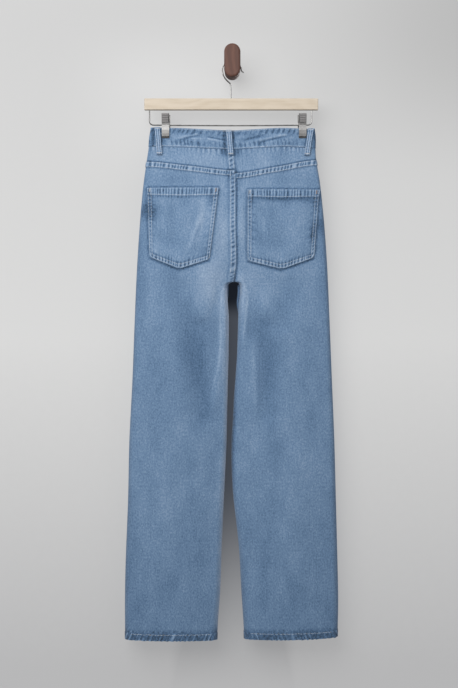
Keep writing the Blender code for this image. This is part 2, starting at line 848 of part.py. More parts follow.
def wire(name, points, colour):
    """Round wire through points (x, z) in the hanging plane."""
    curve = bpy.data.curves.new(name, "CURVE")
    curve.dimensions = "3D"
    spline = curve.splines.new("POLY")
    spline.points.add(len(points) - 1)
    for place, (x, z) in zip(spline.points, points):
        place.co = (x * MM, HANG_Y * MM, z * MM, 1.0)
    curve.bevel_depth = WIRE_RADIUS * MM
    curve.bevel_resolution = 2
    curve.use_fill_caps = True
    curve.materials.append(finish(name, colour, 0.25, 1.0))
    piece = bpy.data.objects.new(name, curve)
    bpy.context.scene.collection.objects.link(piece)
    return piece


def arc(centre, radius, start, stop, steps):
    points = []
    for k in range(steps + 1):
        angle = math.radians(mix(start, stop, k / steps))
        points.append((centre[0] + radius * math.cos(angle), centre[1] + radius * math.sin(angle)))
    return points


STEEL = (0.62, 0.61, 0.6)


def make_hanger():
    bar_centre = (BAR_X, HANG_Y, BAR_TOP - 0.5 * BAR_HEIGHT)
    rounded_box("hanger_bar", bar_centre, (BAR_LENGTH, BAR_THICK, BAR_HEIGHT), 1.6, (0.7, 0.6, 0.47), 0.6)

    left, right = WIRE_X
    under_bar = BAR_TOP - BAR_HEIGHT - SEAM_GAP
    corner_z = WIRE_Z + WIRE_CORNER
    path = [(left, under_bar), (left, mix(under_bar, corner_z, 0.5))]
    path += arc((left + WIRE_CORNER, corner_z), WIRE_CORNER, 180.0, 270.0, 5)
    for share in (0.08, 0.25, 0.5, 0.75, 0.92):
        path.append((mix(left, right, share), WIRE_Z - 1.2 * math.sin(math.pi * share)))
    path += arc((right - WIRE_CORNER, corner_z), WIRE_CORNER, 270.0, 360.0, 5)
    path += [(right, mix(under_bar, corner_z, 0.5)), (right, under_bar)]
    wire("hanger_wire", path, STEEL)

    hook = [(SHANK_X, BAR_TOP + SEAM_GAP), (SHANK_X, -48.0), (SHANK_X, -36.0)]
    hook += [(-4.2, -31.2), (-8.0, -27.6), (-12.4, -23.6), (-16.4, -18.2), (-19.4, -12.2)]
    hook += arc(HOOK_CENTRE, HOOK_RADIUS, 194.0, 6.0, 15)
    hook += [(19.3, -3.2), (21.2, -6.0), (24.4, -7.6)]
    wire("hanger_hook", hook, STEEL)


ClipShape = namedtuple("ClipShape", "out z")
CLIP_PLATE = [
    ClipShape(13.0, -95.2),
    ClipShape(11.4, -101.0),
    ClipShape(8.6, -108.0),
    ClipShape(5.9, -113.6),
    ClipShape(5.2, -118.0),
    ClipShape(6.6, -123.2),
    ClipShape(7.6, -129.0),
    ClipShape(7.2, -136.0),
    ClipShape(6.4, -142.2),
]
CLIP_THICK = 1.0


def clip_plate(name, x, face, shift):
    """Pressed steel plate: its finger end leans out, its jaw end grips the waistband through a rubber pad."""
    form = bmesh.new()
    sections = []
    for k, here in enumerate(CLIP_PLATE):
        before = CLIP_PLATE[max(k - 1, 0)]
        after = CLIP_PLATE[min(k + 1, len(CLIP_PLATE) - 1)]
        along = Vector((0.0, after.out - before.out, after.z - before.z)).normalized()
        normal = Vector((0.0, -along.z, along.y))
        section = []
        for side, lift in ((-1.0, 0.0), (1.0, 0.0), (1.0, -CLIP_THICK), (-1.0, -CLIP_THICK)):
            local = Vector((side * CLIP_HALF_WIDTH, here.out, here.z)) + normal * lift
            section.append(
                form.verts.new((x + shift + local.x, HANG_Y + OUTWARD[face] * local.y, local.z))
            )
        sections.append(section)
    for low, high in zip(sections, sections[1:]):
        for k in range(4):
            m = (k + 1) % 4
            form.faces.new((low[k], low[m], high[m], high[k]))
    form.faces.new(sections[0])
    form.faces.new(sections[-1])
    return add_object(name, form, STEEL, 0.3, 1.0, sharp=50.0)


def make_clip(side, x):
    for face, shift in (("back", 0.0), ("front", 1.6 if side == "left" else -1.6)):
        clip_plate("clip_%s_%s" % (side, face), x, face, shift)
        pad_middle = 0.5 * (CLIP_DEPTH + BAND_OUT + SEAM_GAP + 5.1)
        pad_thick = 5.1 - (CLIP_DEPTH + BAND_OUT + SEAM_GAP)
        rounded_box(
            "clip_%s_%s_pad" % (side, face),
            (x + shift, HANG_Y + OUTWARD[face] * pad_middle, -140.6),
            (2.0 * CLIP_HALF_WIDTH, pad_thick, 11.0),
            0.3,
            (0.05, 0.05, 0.05),
            0.8,
            steps=1,
        )
    make_spring("clip_%s_spring" % side, x)


def make_spring(name, x):
    """The coiled spring round the wire, as one sleeve."""
    form = bmesh.new()
    segments = 12
    half = 5.5
    inner, outer = WIRE_RADIUS + 0.5, WIRE_RADIUS + 1.9
    centre_z = WIRE_Z - 0.55
    profile = [(inner, -half), (outer, -half), (outer, half), (inner, half)]
    rings = []
    for radius, along in profile:
        ring = []
        for k in range(segments):
            angle = 2.0 * math.pi * k / segments
            ring.append(
                form.verts.new(
                    (x + along, HANG_Y + radius * math.cos(angle), centre_z + radius * math.sin(angle))
                )
            )
        rings.append(ring)
    for k in range(4):
        for m in range(segments):
            n = (m + 1) % segments
            form.faces.new((rings[k][m], rings[k][n], rings[(k + 1) % 4][n], rings[(k + 1) % 4][m]))
    add_object(name, form, STEEL, 0.35, 1.0)


# ---------------------------------------------------------------- wall peg
WALNUT = (0.17, 0.09, 0.07)


def make_peg():
    r = PEG_RADIUS
    neck = [(r, 0.0), (r, PEG_REACH - 1.5), (r - 1.5, PEG_REACH)]
    turned("peg_neck", neck, (0.0, 0.0, 0.0), (0.0, -1.0, 0.0), WALNUT, 0.5, 0.0, segments=32)

    form = bmesh.new()
    outline = []
    half = 0.5 * PLATE_WIDTH
    straight = 0.5 * PLATE_HEIGHT - half
    steps = 12
    for k in range(steps + 1):
        angle = math.pi * k / steps
        outline.append((half * math.cos(angle), straight + half * math.sin(angle)))
    for k in range(steps + 1):
        angle = math.pi + math.pi * k / steps
        outline.append((half * math.cos(angle), -straight + half * math.sin(angle)))
    back = -(PEG_REACH + SEAM_GAP)
    front = back - PLATE_THICK
    rim = 4.0
    levels = [(back, 1.2), (back - 1.2, 0.0), (front + rim, 0.0), (front + 1.2, 1.2), (front, rim)]
    rings = []
    for y, inset in levels:
        ring = []
        for x, z in outline:
            flat = Vector((x, 0.0, z))
            core = Vector((0.0, 0.0, min(max(z, -straight), straight)))
            away = (flat - core).normalized()
            place = flat - away * inset
            ring.append(form.verts.new((place.x, y, place.z + PLATE_Z)))
        rings.append(ring)
    count = len(outline)
    for low, high in zip(rings, rings[1:]):
        for k in range(count):
            m = (k + 1) % count
            form.faces.new((low[k], low[m], high[m], high[k]))
    form.faces.new(rings[0])
    form.faces.new(rings[-1])
    add_object("peg_plate", form, WALNUT, 0.5)


def main():
    for old in list(bpy.data.objects):
        bpy.data.objects.remove(old)
    for half in ("left", "right"):
        make_back(half)
        make_yoke(half)
        make_back_pocket(half)
        make_front(half)
        make_pocket_facing(half)
    make_fly()
    make_waistband()
    for loop in LOOPS:
        make_loop(loop)
    make_button()
    make_hanger()
    for side, x in zip(("left", "right"), CLIP_X):
        make_clip(side, x)
    make_peg()


main()
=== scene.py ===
# %% [markdown]
# # Wide leg jeans on a clip hanger
#
# The imported model gives the frame: every denim panel, the hanger and the wall peg at their real
# size. This file dresses it. Each cloth solid is replaced by a finer shell of the same cut with its
# puckers, fades, painted shade and stitches, and the hard parts get their wood, steel and rubber.
# Sizes are in millimetres and turn into metres when a mesh is made.

# %% Load the frame
import json
import math
from collections import namedtuple

import bpy
import numpy as np
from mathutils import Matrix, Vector

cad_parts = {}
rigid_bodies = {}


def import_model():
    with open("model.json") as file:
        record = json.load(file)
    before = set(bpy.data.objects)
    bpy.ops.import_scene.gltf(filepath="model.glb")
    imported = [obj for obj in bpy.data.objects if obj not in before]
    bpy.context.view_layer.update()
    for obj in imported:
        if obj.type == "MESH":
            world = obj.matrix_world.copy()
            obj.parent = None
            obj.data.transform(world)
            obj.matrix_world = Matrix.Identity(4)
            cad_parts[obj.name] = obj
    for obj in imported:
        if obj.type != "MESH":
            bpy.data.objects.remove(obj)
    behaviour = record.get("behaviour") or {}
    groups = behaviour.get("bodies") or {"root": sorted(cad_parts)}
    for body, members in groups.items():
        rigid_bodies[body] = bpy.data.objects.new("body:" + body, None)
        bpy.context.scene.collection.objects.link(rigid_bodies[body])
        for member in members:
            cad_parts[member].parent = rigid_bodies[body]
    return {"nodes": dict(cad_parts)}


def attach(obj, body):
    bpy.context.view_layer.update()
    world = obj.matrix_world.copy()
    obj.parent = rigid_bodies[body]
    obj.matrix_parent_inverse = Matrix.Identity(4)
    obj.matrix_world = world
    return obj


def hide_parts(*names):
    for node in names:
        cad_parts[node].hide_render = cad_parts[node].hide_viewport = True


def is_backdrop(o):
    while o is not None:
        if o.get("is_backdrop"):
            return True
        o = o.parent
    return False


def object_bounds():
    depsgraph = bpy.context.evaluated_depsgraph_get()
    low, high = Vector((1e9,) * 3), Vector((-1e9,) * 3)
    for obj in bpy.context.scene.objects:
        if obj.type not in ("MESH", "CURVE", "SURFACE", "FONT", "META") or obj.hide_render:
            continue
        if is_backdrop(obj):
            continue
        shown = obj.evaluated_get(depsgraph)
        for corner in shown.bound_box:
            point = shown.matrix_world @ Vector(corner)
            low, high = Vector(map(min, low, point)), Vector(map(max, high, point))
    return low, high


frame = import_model()
cad_low, cad_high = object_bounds()
MM = 0.001
print("frame: %d nodes, %.0f mm tall" % (len(frame["nodes"]), (cad_high.z - cad_low.z) / MM))

# %% [markdown]
# ## The camera
#
# The photograph is a level view of the seat side from about three metres, far enough to look almost
# flat. The camera's height and side place come from the middle of the picture, and the lens from
# the garment's size in it.

# %% The camera
HANG_Y = -42.0  # the plane of the hanger and of both side seams
VIEW_DISTANCE = 3000.0
VIEW_X = -6.9
VIEW_Z = -578.0
LENS = 74.7

camera_data = bpy.data.cameras.new("camera")
camera_data.lens = LENS
camera_data.sensor_width = 36.0
camera = bpy.data.objects.new("camera", camera_data)
camera.location = (VIEW_X * MM, (HANG_Y - VIEW_DISTANCE) * MM, VIEW_Z * MM)
camera.rotation_euler = (math.radians(90.0), 0.0, 0.0)
bpy.context.scene.collection.objects.link(camera)
bpy.context.scene.camera = camera
print("camera: %.2f m in front of the jeans" % (VIEW_DISTANCE * MM))

# %% [markdown]
# ## The cut, as tables
#
# A garment hung flat is described best by its outline at each height, and by how far the cloth
# stands off the plane of its seams. The heights are "drops", counted down from the top edge of the
# waist. The sizes are those of the solids, so a shell made from them lies on its solid.

# %% Driving sizes of the cut
WAIST_Z = -124.4
CLOTH = 1.2
SEAM_GAP = 0.3
HALF_GAP = 0.5 * SEAM_GAP
FELL = 1.4
FELL_WIDTH = 14.0
YOKE_FELL = 10.5
STEP_WIDTH = 1.2
BAND_HEIGHT = 40.0
BAND_OUT = 0.7
BAND_IN = 1.9
BAND_MIDDLE = 20.0
FRONT_DIP = 12.0
FLY_X = 3.0
OVERLAP = 33.0
CROTCH_X = 5.0
CROTCH_DROP = 323.0
CROTCH_RISE = 45.0
ARCH = 11.0
HEM_DROP = 1074.0
HEM_HEIGHT = 14.5
HEM_OUT = 0.7
HEM_IN = 0.8
ROUND_SHARE = 0.5
CLIP_X = (-140.1, 147.6)
CLIP_DEPTH = 2.9
SIGN = {"left": -1.0, "right": 1.0}
OUTWARD = {"back": -1.0, "front": 1.0}
print("cloth %.1f mm, seams %.1f mm open, waistband %.0f mm" % (CLOTH, SEAM_GAP, BAND_HEIGHT))
print("crotch %.0f mm and hem %.0f mm down" % (CROTCH_DROP, HEM_DROP))

# %% [markdown]
# ## The outline
#
# Each row gives a height below the waist and what was measured there: the two side seams, the two
# inseams and how deep the cloth stands off the middle plane on the seat side and on the fly side.

# %% The outline and the depth of the cloth
def named_rows(columns, *rows):
    """A table: a list of rows whose values go by the names of their columns."""
    row_type = namedtuple("Row", columns)
    return [row_type(*row) for row in rows]


OUTLINE = named_rows(
    "drop left right",
    (0, -171.0, 173.0),
    (20, -174.3, 174.8),
    (42, -175.9, 174.8),
    (67, -179.5, 176.4),
    (109, -185.5, 183.4),
    (151, -190.1, 188.4),
    (214, -195.2, 194.3),
    (298, -200.5, 199.9),
    (403, -205.1, 204.4),
    (529, -209.9, 209.4),
    (655, -216.3, 214.5),
    (781, -219.1, 217.8),
    (907, -224.0, 221.0),
    (991, -225.6, 222.6),
    (1080, -225.2, 221.2),
)
LEG_GAP = named_rows(
    "drop left right",
    (323, -10.3, 16.4),
    (347, -10.3, 16.4),
    (370, -9.2, 13.7),
    (397, -7.4, 12.4),
    (439, -7.4, 11.3),
    (483, -8.0, 9.5),
    (529, -9.2, 6.3),
    (575, -10.3, 2.9),
    (613, -11.1, 1.1),
    (655, -12.0, -1.7),
    (710, -14.3, -1.4),
    (769, -17.2, 1.7),
    (880, -22.3, 13.7),
    (964, -25.0, 18.5),
    (1080, -31.6, 24.6),
)
DEPTH = named_rows(
    "drop back front",
    (0, 7.0, 7.0),
    (40, 8.0, 7.6),
    (80, 10.5, 9.0),
    (150, 15.0, 12.0),
    (230, 18.0, 14.0),
    (323, 18.0, 15.5),
    (420, 19.5, 17.0),
    (600, 21.0, 19.0),
    (800, 23.5, 21.0),
    (1080, 26.0, 24.0),
)
CENTRE_SEAM = named_rows(
    "drop back",
    (0, -1.0),
    (60, 3.5),
    (110, 7.2),
    (200, 7.2),
    (280, 8.6),
    (323, CROTCH_X),
)
WAIST_EDGE = named_rows(
    "x top",
    (-175, -0.8),
    (-118, 0.4),
    (-68, 2.9),
    (-10, 6.0),
    (6, 5.9),
    (54, 2.9),
    (111, 0.2),
    (175, 2.3),
)
YOKE_SEAM = {
    "left": named_rows("x drop", (-183, 71.0), (-90, 80.0), (8, 90.0)),
    "right": named_rows("x drop", (0, 96.0), (90, 82.5), (183, 67.5)),
}
HEM_LIFT = {"left": (0.0, 1.0), "right": (2.0, 6.0)}
CROTCH_BULGE = {"left": 5.0, "right": 8.0}
CROTCH_BULGE_END = {"left": (346.0, 376.0), "right": (358.0, 408.0)}
print("cut: %d heights, hem %.0f mm below the waist" % (len(OUTLINE), HEM_DROP))

# %% [markdown]
# ## Folds
#
# Cloth that hangs from two clips falls in long soft folds. Each is a row of a table: a line that
# bends once, a width and a height. The broad ones are in the solids too; the narrow ones and the
# thin creases are added here.

# %% The folds
FOLD_COLUMNS = "face x_top x_mid x_low drop_top drop_low half_width height"
FOLDS = named_rows(
    FOLD_COLUMNS,
    ("back", -120, -76, -57, 280, 660, 30, -6.0),
    ("back", -50, -58, -50, 255, 420, 34, 4.0),
    ("back", 38, 44, 40, 420, 640, 18, 3.2),
    ("back", 60, 70, 74, 370, 640, 28, -6.0),
    ("back", 112, 108, 96, 300, 440, 28, -3.5),
    ("back", -150, -140, -148, 560, 980, 32, 2.5),
    ("back", 140, 128, 140, 640, 1010, 34, 2.5),
    ("front", -104, -82, -66, 290, 640, 30, -5.0),
    ("front", 112, 88, 78, 300, 650, 30, -5.0),
    ("front", -60, -52, -30, 180, 300, 22, 3.5),
    ("front", 64, 55, 34, 190, 300, 22, 3.5),
    ("front", 146, 132, 142, 600, 990, 32, 2.5),
    ("front", -146, -134, -140, 640, 1000, 32, 2.5),
)
NARROW_FOLDS = named_rows(
    FOLD_COLUMNS,
    ("back", -15, -22, -44, 320, 620, 9, 2.6),
    ("back", 14, 25, 19, 285, 480, 8, 2.6),
    ("back", -30, -43, -37, 115, 275, 10, 1.8),
    ("back", 18, 18, 21, 140, 250, 8, 1.6),
    ("back", -62, -76, -86, 160, 262, 9, 1.2),
    ("back", -118, -121, -119, 150, 262, 12, -1.2),
    ("back", 60, 52, 47, 300, 420, 10, -1.2),
    ("back", -34, -31, -60, 300, 420, 10, -1.3),
    ("front", -20, -27, -40, 330, 600, 10, 2.4),
    ("front", 24, 31, 40, 330, 600, 10, 2.4),
    ("front", -30, -62, -110, 250, 330, 8, -1.6),
    ("front", 34, 66, 112, 255, 335, 8, -1.6),
)
CREASE_LINES = named_rows(
    "face lift half_width shadow_side spots",
    (
        "back", 0.10, 1.9, 1.0,
        [(-12, 322), (-22, 345), (-25, 380), (-25, 456), (-30, 504), (-47, 570)],
    ),
    (
        "back", 0.11, 1.9, 1.0,
        [(12, 306), (22, 324), (30, 341), (33, 356), (30, 380), (28, 404), (21, 452)],
    ),
    ("back", 0.06, 3.4, 1.0, [(43, 440), (46, 520), (49, 620)]),
    ("back", 0.07, 3.0, -1.0, [(-50, 150), (-58, 205), (-72, 262)]),
    ("front", 0.06, 2.6, -1.0, [(14, 335), (27, 360), (30, 430), (40, 560)]),
    ("front", 0.06, 2.6, 1.0, [(-12, 335), (-24, 360), (-27, 440), (-38, 560)]),
)
print("folds: %d broad, %d narrow, %d creases" % (len(FOLDS), len(NARROW_FOLDS), len(CREASE_LINES)))

# %% [markdown]
# ## Reading a table smoothly
#
# Straight lines between the rows would leave corners in the outline, so a row is joined to the next
# by a cubic that keeps the slope. The functions take whole arrays, because a panel has tens of
# thousands of points.

# %% Curves through the tables
def read(table, value, column, key="drop"):
    """A smooth curve through one column of a table."""
    keys = np.array([getattr(row, key) for row in table], float)
    heights = np.array([getattr(row, column) for row in table], float)
    slopes = np.zeros(len(keys))
    slopes[1:-1] = (heights[2:] - heights[:-2]) / (keys[2:] - keys[:-2])
    value = np.clip(value, keys[0], keys[-1])
    i = np.clip(np.searchsorted(keys, value, side="right") - 1, 0, len(keys) - 2)
    step = keys[i + 1] - keys[i]
    t = (value - keys[i]) / step
    ends = heights[i] * (2 * t**3 - 3 * t**2 + 1) + heights[i + 1] * (3 * t**2 - 2 * t**3)
    leans = slopes[i] * (t**3 - 2 * t**2 + t) + slopes[i + 1] * (t**3 - t**2)
    return ends + leans * step


def smooth(value, low, high):
    """0 below low, 1 above high, with no corner in between."""
    t = np.clip((value - low) / (high - low), 0.0, 1.0)
    return t * t * (3.0 - 2.0 * t)


def fall(value, low, high):
    """1 below low, 0 above high."""
    return 1.0 - smooth(value, low, high)


def bump(value, centre, half_width):
    """1 at the centre, falling softly to 0 on both sides."""
    return np.exp(-(((value - centre) / half_width) ** 2))


def mix(a, b, share):
    return a + (b - a) * share


def quarter(share):
    """Rises from 0 to 1 like a quarter of a circle."""
    return np.sqrt(np.maximum(0.0, 1.0 - (1.0 - np.clip(share, 0.0, 1.0)) ** 2))


print("a quarter of a circle half way along: %.3f" % quarter(0.5))

# %% [markdown]
# ## The garment's surface
#
# Each of the four sides of the jeans is one sheet in space: given a side place and a drop, it
# answers with how far the cloth stands out. The sheet closes like a quarter circle at the side fold
# and at the inseam, is pressed flat where a clip holds it, and carries the folds of the table. All
# panels, pockets, loops and stitches lie on it.

# %% Where the cloth lies
def side_x(half, drop):
    return read(OUTLINE, drop, half)


def inner_x(half, face, drop):
    """Where a panel starts: the centre seam down to the crotch, then the inseam."""
    drop = np.asarray(drop, float)
    gap = mix(CROTCH_X, read(LEG_GAP, drop, half), quarter((drop - CROTCH_DROP) / ARCH))
    seam = mix(FLY_X, CROTCH_X, smooth(drop, 150.0, CROTCH_DROP))
    if face == "back":
        seam = read(CENTRE_SEAM, drop, "back")
    return np.where(drop >= CROTCH_DROP, gap, seam)


def fold_height(folds, face, x, drop):
    """How far the folds of a table lift the cloth at a point."""
    height = np.zeros(np.broadcast(x, drop).shape)
    for fold in folds:
        if fold.face != face:
            continue
        t = np.clip((drop - fold.drop_top) / (fold.drop_low - fold.drop_top), 0.0, 1.0)
        bend = fold.x_mid - 0.5 * (fold.x_top + fold.x_low)
        centre = mix(fold.x_top, fold.x_low, t) + 4.0 * bend * t * (1.0 - t)
        ends = smooth(t, 0.0, 0.16) * fall(t, 0.84, 1.0)
        height += fold.height * ends * np.sin(math.pi * t) ** 0.7 * bump(x, centre, fold.half_width)
    return height


def pinch(x, drop):
    """1 where a clip presses the waist flat, 0 away from it."""
    nearest = np.minimum(abs(x - CLIP_X[0]), abs(x - CLIP_X[1]))
    return fall(nearest, 13.0, 48.0) * fall(drop, 26.0, 85.0)


def depth_at(half, face, x, drop):
    """How far the cloth's outside lies from the plane of the side seams."""
    inner = inner_x(half, face, drop)
    width = abs(side_x(half, drop) - inner)
    from_inner = np.clip((x - inner) * SIGN[half], 0.0, width)
    hump_start = read(CENTRE_SEAM, drop, "back")
    hump_start = mix(hump_start, read(LEG_GAP, drop, half), smooth(drop, 240.0, 430.0))
    across = np.clip((x - hump_start) * SIGN[half] / abs(side_x(half, drop) - hump_start), 0.0, 1.0)
    full = read(DEPTH, drop, face)
    radius = ROUND_SHARE * full
    legs = smooth(drop, CROTCH_DROP - 130.0, CROTCH_DROP + 60.0)
    body_hump = np.maximum(np.cos(0.5 * math.pi * across), 0.0) ** 0.8
    leg_hump = np.maximum(np.sin(math.pi * across), 0.0) ** 0.8
    form = mix(ROUND_SHARE, 1.0, mix(body_hump, leg_hump, legs))
    depth = full * form + fold_height(FOLDS, face, x, drop)
    depth = mix(depth, CLIP_DEPTH, pinch(x, drop))
    joined = np.where(drop < CROTCH_DROP, quarter((CROTCH_DROP - drop) / CROTCH_RISE), 0.0)
    inner_round = mix(quarter(from_inner / radius), 1.0, joined)
    return depth * inner_round * quarter((width - from_inner) / np.minimum(radius, depth))


def crotch_bulge(half, x, drop):
    """The front's cloth bulges towards the other leg behind the top of the gap."""
    high, low = CROTCH_BULGE_END[half]
    from_inner = (x - inner_x(half, "front", drop)) * SIGN[half]
    down = smooth(drop, CROTCH_DROP + 2.0, CROTCH_DROP + 9.0) * fall(drop, high, low)
    return CROTCH_BULGE[half] * down * smooth(from_inner, 0.0, 2.5) * fall(from_inner, 6.0, 32.0)


def cloth_points(half, face, x, drop):
    depth = np.maximum(depth_at(half, face, x, drop), HALF_GAP)
    shift = SIGN[half] * crotch_bulge(half, x, drop) if face == "front" else 0.0
    place = (x - shift + 0.0 * drop, HANG_Y + OUTWARD[face] * depth, WAIST_Z - drop + 0.0 * x)
    return np.stack(place, axis=-1)


def unit(vectors):
    return vectors / np.maximum(np.linalg.norm(vectors, axis=-1, keepdims=True), 1e-9)


def cloth_normals(half, face, x, drop, step=1.5):
    """The way out of the cloth at any point of it."""
    across = cloth_points(half, face, x + step, drop) - cloth_points(half, face, x - step, drop)
    down = cloth_points(half, face, x, drop + step) - cloth_points(half, face, x, drop - step)
    normals = unit(np.cross(across, down))
    return np.where(normals[..., 1:2] * OUTWARD[face] < 0.0, -normals, normals)


def lifted(half, face, x, drop, reach):
    """Points that stand off the cloth by reach, and the normals there."""
    normals = cloth_normals(half, face, x, drop)
    return cloth_points(half, face, x, drop) + normals * reach[..., None], normals


def choose(left, sides):
    """Takes the left half's points and normals where left is true, and the right half's elsewhere."""
    points, normals = zip(*sides)
    return np.where(left[..., None], *points), np.where(left[..., None], *normals)


probe = cloth_points("left", "back", np.array([-100.0]), np.array([600.0]))[0]
print("the seat side lies %.1f mm off the seam plane on the left shin" % (HANG_Y - probe[1]))

# %% [markdown]
# ## Uneven ripples
#
# Washed denim puckers along every seam: the thread doesn't shrink, the cloth does. The puckers come
# at a steady pitch but are never alike, so a ripple's pitch and height wander with a smooth random
# line. The random numbers are seeded.

# %% Random lines and hills
def hills(across, along, seed):
    """Smooth random hills between -1 and 1, about one to each whole number."""
    table = np.random.default_rng(seed).uniform(-1.0, 1.0, (61, 61))
    i, j = np.floor(across).astype(int), np.floor(along).astype(int)
    u, v = across - i, along - j
    u, v = u * u * (3.0 - 2.0 * u), v * v * (3.0 - 2.0 * v)
    i, j = i % 60, j % 60
    top = mix(table[i, j], table[i + 1, j], u)
    low = mix(table[i, j + 1], table[i + 1, j + 1], u)
    return mix(top, low, v)


def ripple(along, pitch, seed):
    """Ridges across a line at about one pitch, uneven in place and height, from -1 to 1."""
    wander = hills(along / (2.3 * pitch), np.full_like(along, 7.3), seed)
    strength = hills(along / (2.9 * pitch), np.full_like(along, 21.7), seed + 1)
    turn = math.tau * (along / pitch + 0.8 * wander)
    wave = np.cos(turn) + 0.35 * np.cos(1.7 * turn + 3.0 * strength)
    return wave * (0.7 + 0.55 * strength)


def sewn_band(distance, along, near, far, pitch, seed, light=0.22):
    """Fade across two rows of stitches: bleached under the rows, dark hollows between them."""
    tick = ripple(along, pitch, seed)
    dark = smooth(tick, -0.25, 0.5)
    lines = bump(distance, near, 1.2) + bump(distance, far, 1.2)
    hollow = bump(distance, 0.5 * (near + far), 0.5 * (far - near))
    return light * lines * (1.1 - 0.5 * dark) - hollow * (0.7 * dark - 0.13)


print("a ripple every 3 mm:", np.round(ripple(np.arange(0.0, 18.0, 3.0), 9.0, 1), 2))

# %% [markdown]
# ## Edges of the pieces
#
# Seams are lines on the surface, given as a drop for each side place: the waist's top edge, the
# seam under the waistband, the sloping yoke seams and the hems.

# %% Seam lines
HEM_PITCH = 8.4
HEM_WAVE = 0.7


def waist_top(face, x):
    top = read(WAIST_EDGE, x, "top", key="x")
    if face == "front":
        top = top + FRONT_DIP * fall(abs(x - 3.0), 10.0, 140.0)
    return top


def waist_seam(face, x):
    return waist_top(face, x) + BAND_HEIGHT


def yoke_seam(half, x):
    return read(YOKE_SEAM[half], x, "drop", key="x")


def hem_line(half, x):
    inner = read(LEG_GAP, HEM_DROP, half)
    side = side_x(half, HEM_DROP)
    across = np.clip((x - inner) / (side - inner), 0.0, 1.0)
    low, high = HEM_LIFT[half]
    wave = HEM_WAVE * ripple(x + 0.0 * across, 1.3 * HEM_PITCH, 61)
    return HEM_DROP - mix(low, high, across**3) - HEM_WAVE + wave


for half, sign in SIGN.items():
    middle_drop = hem_line(half, sign * np.array([110.0]))[0]
    print("%s leg's hem, at its middle: %.1f mm down" % (half, middle_drop))

# %% [markdown]
# ## Puckers, roping and soft wrinkles
#
# This relief lies on the big form: ticks across the felled seams, slanting ropes along the hems,
# puckers at the waist seam and faint waves in the legs. It fades out at the side folds, so that
# back and front still meet there.

# %% Relief of the panels
YOKE_PITCH = 7.3
YOKE_ROWS = (1.6, 9.8)
YOKE_SEED = 11
SEAT_PITCH = 8.8
SEAT_ROWS = (2.6, 10.6)
SEAT_SEED = 31
HEM_SLANT = 0.45
HEM_SEED = 51
WAIST_PITCH = 9.6


def edge_mask(half, face, x, drop, reach=9.0):
    """0 at a panel's two edges and 1 inside it."""
    inner = inner_x(half, face, drop)
    from_side = abs(side_x(half, drop) - x)
    from_inner = abs(x - inner)
    open_inner = np.where(drop < CROTCH_DROP - 10.0, 1.0, smooth(from_inner, 0.0, reach))
    return smooth(from_side, 0.0, reach) * open_inner


def yoke_ticks(half, x, drop):
    under = drop - yoke_seam(half, x)
    band = smooth(under, -3.0, 1.5) * fall(under, 9.0, 17.0)
    return ripple(x + 0.15 * drop, YOKE_PITCH, YOKE_SEED) * band


def seat_ticks(x, drop):
    seam = inner_x("left", "back", drop)
    from_seam = abs(x - seam)
    band = np.where(x < seam + 0.5, fall(from_seam, 10.0, 20.0), fall(from_seam, 1.0, 9.0))
    ends = fall(drop, CROTCH_DROP - 14.0, CROTCH_DROP - 2.0)
    return ripple(drop + 0.4 * x, SEAT_PITCH, SEAT_SEED) * band * ends


def hem_ropes(half, x, drop):
    up = hem_line(half, x) - drop
    band = fall(up, HEM_HEIGHT - 2.0, HEM_HEIGHT + 26.0)
    inside_band = fall(up, HEM_HEIGHT - 1.0, HEM_HEIGHT + 3.0)
    ropes = ripple(x + HEM_SLANT * SIGN[half] * up, HEM_PITCH, HEM_SEED)
    return ropes * (0.22 * band + 0.78 * inside_band)


def waist_puckers(face, x, drop):
    under = drop - waist_seam(face, x)
    band = smooth(under, -12.0, -4.0) * fall(under, 2.0, 16.0)
    return ripple(x, WAIST_PITCH, 71) * band


def soft_waves(face, x, drop):
    seed = 90 if face == "back" else 95
    broad = 0.55 * hills(x / 34.0 + 40.0, drop / 95.0, seed)
    fine = 0.16 * hills(x / 11.0 + 60.0, drop / 30.0, seed + 1)
    return (broad + fine) * smooth(drop, 60.0, 140.0)


def panel_relief(half, face, x, drop):
    """The small relief in millimetres, outwards."""
    relief = fold_height(NARROW_FOLDS, face, x, drop) + soft_waves(face, x, drop)
    relief += 0.45 * waist_puckers(face, x, drop)
    relief += 0.75 * hem_ropes(half, x, drop)
    if face == "back":
        relief -= 0.42 * yoke_ticks(half, x, drop)
        relief -= 0.40 * seat_ticks(x, drop)
    return relief * edge_mask(half, face, x, drop)


for half, sign in SIGN.items():
    under_yoke = panel_relief(half, "back", sign * np.array([70.0]), np.array([104.0]))[0]
    print("%s back just under the yoke: %.2f mm" % (half, under_yoke))
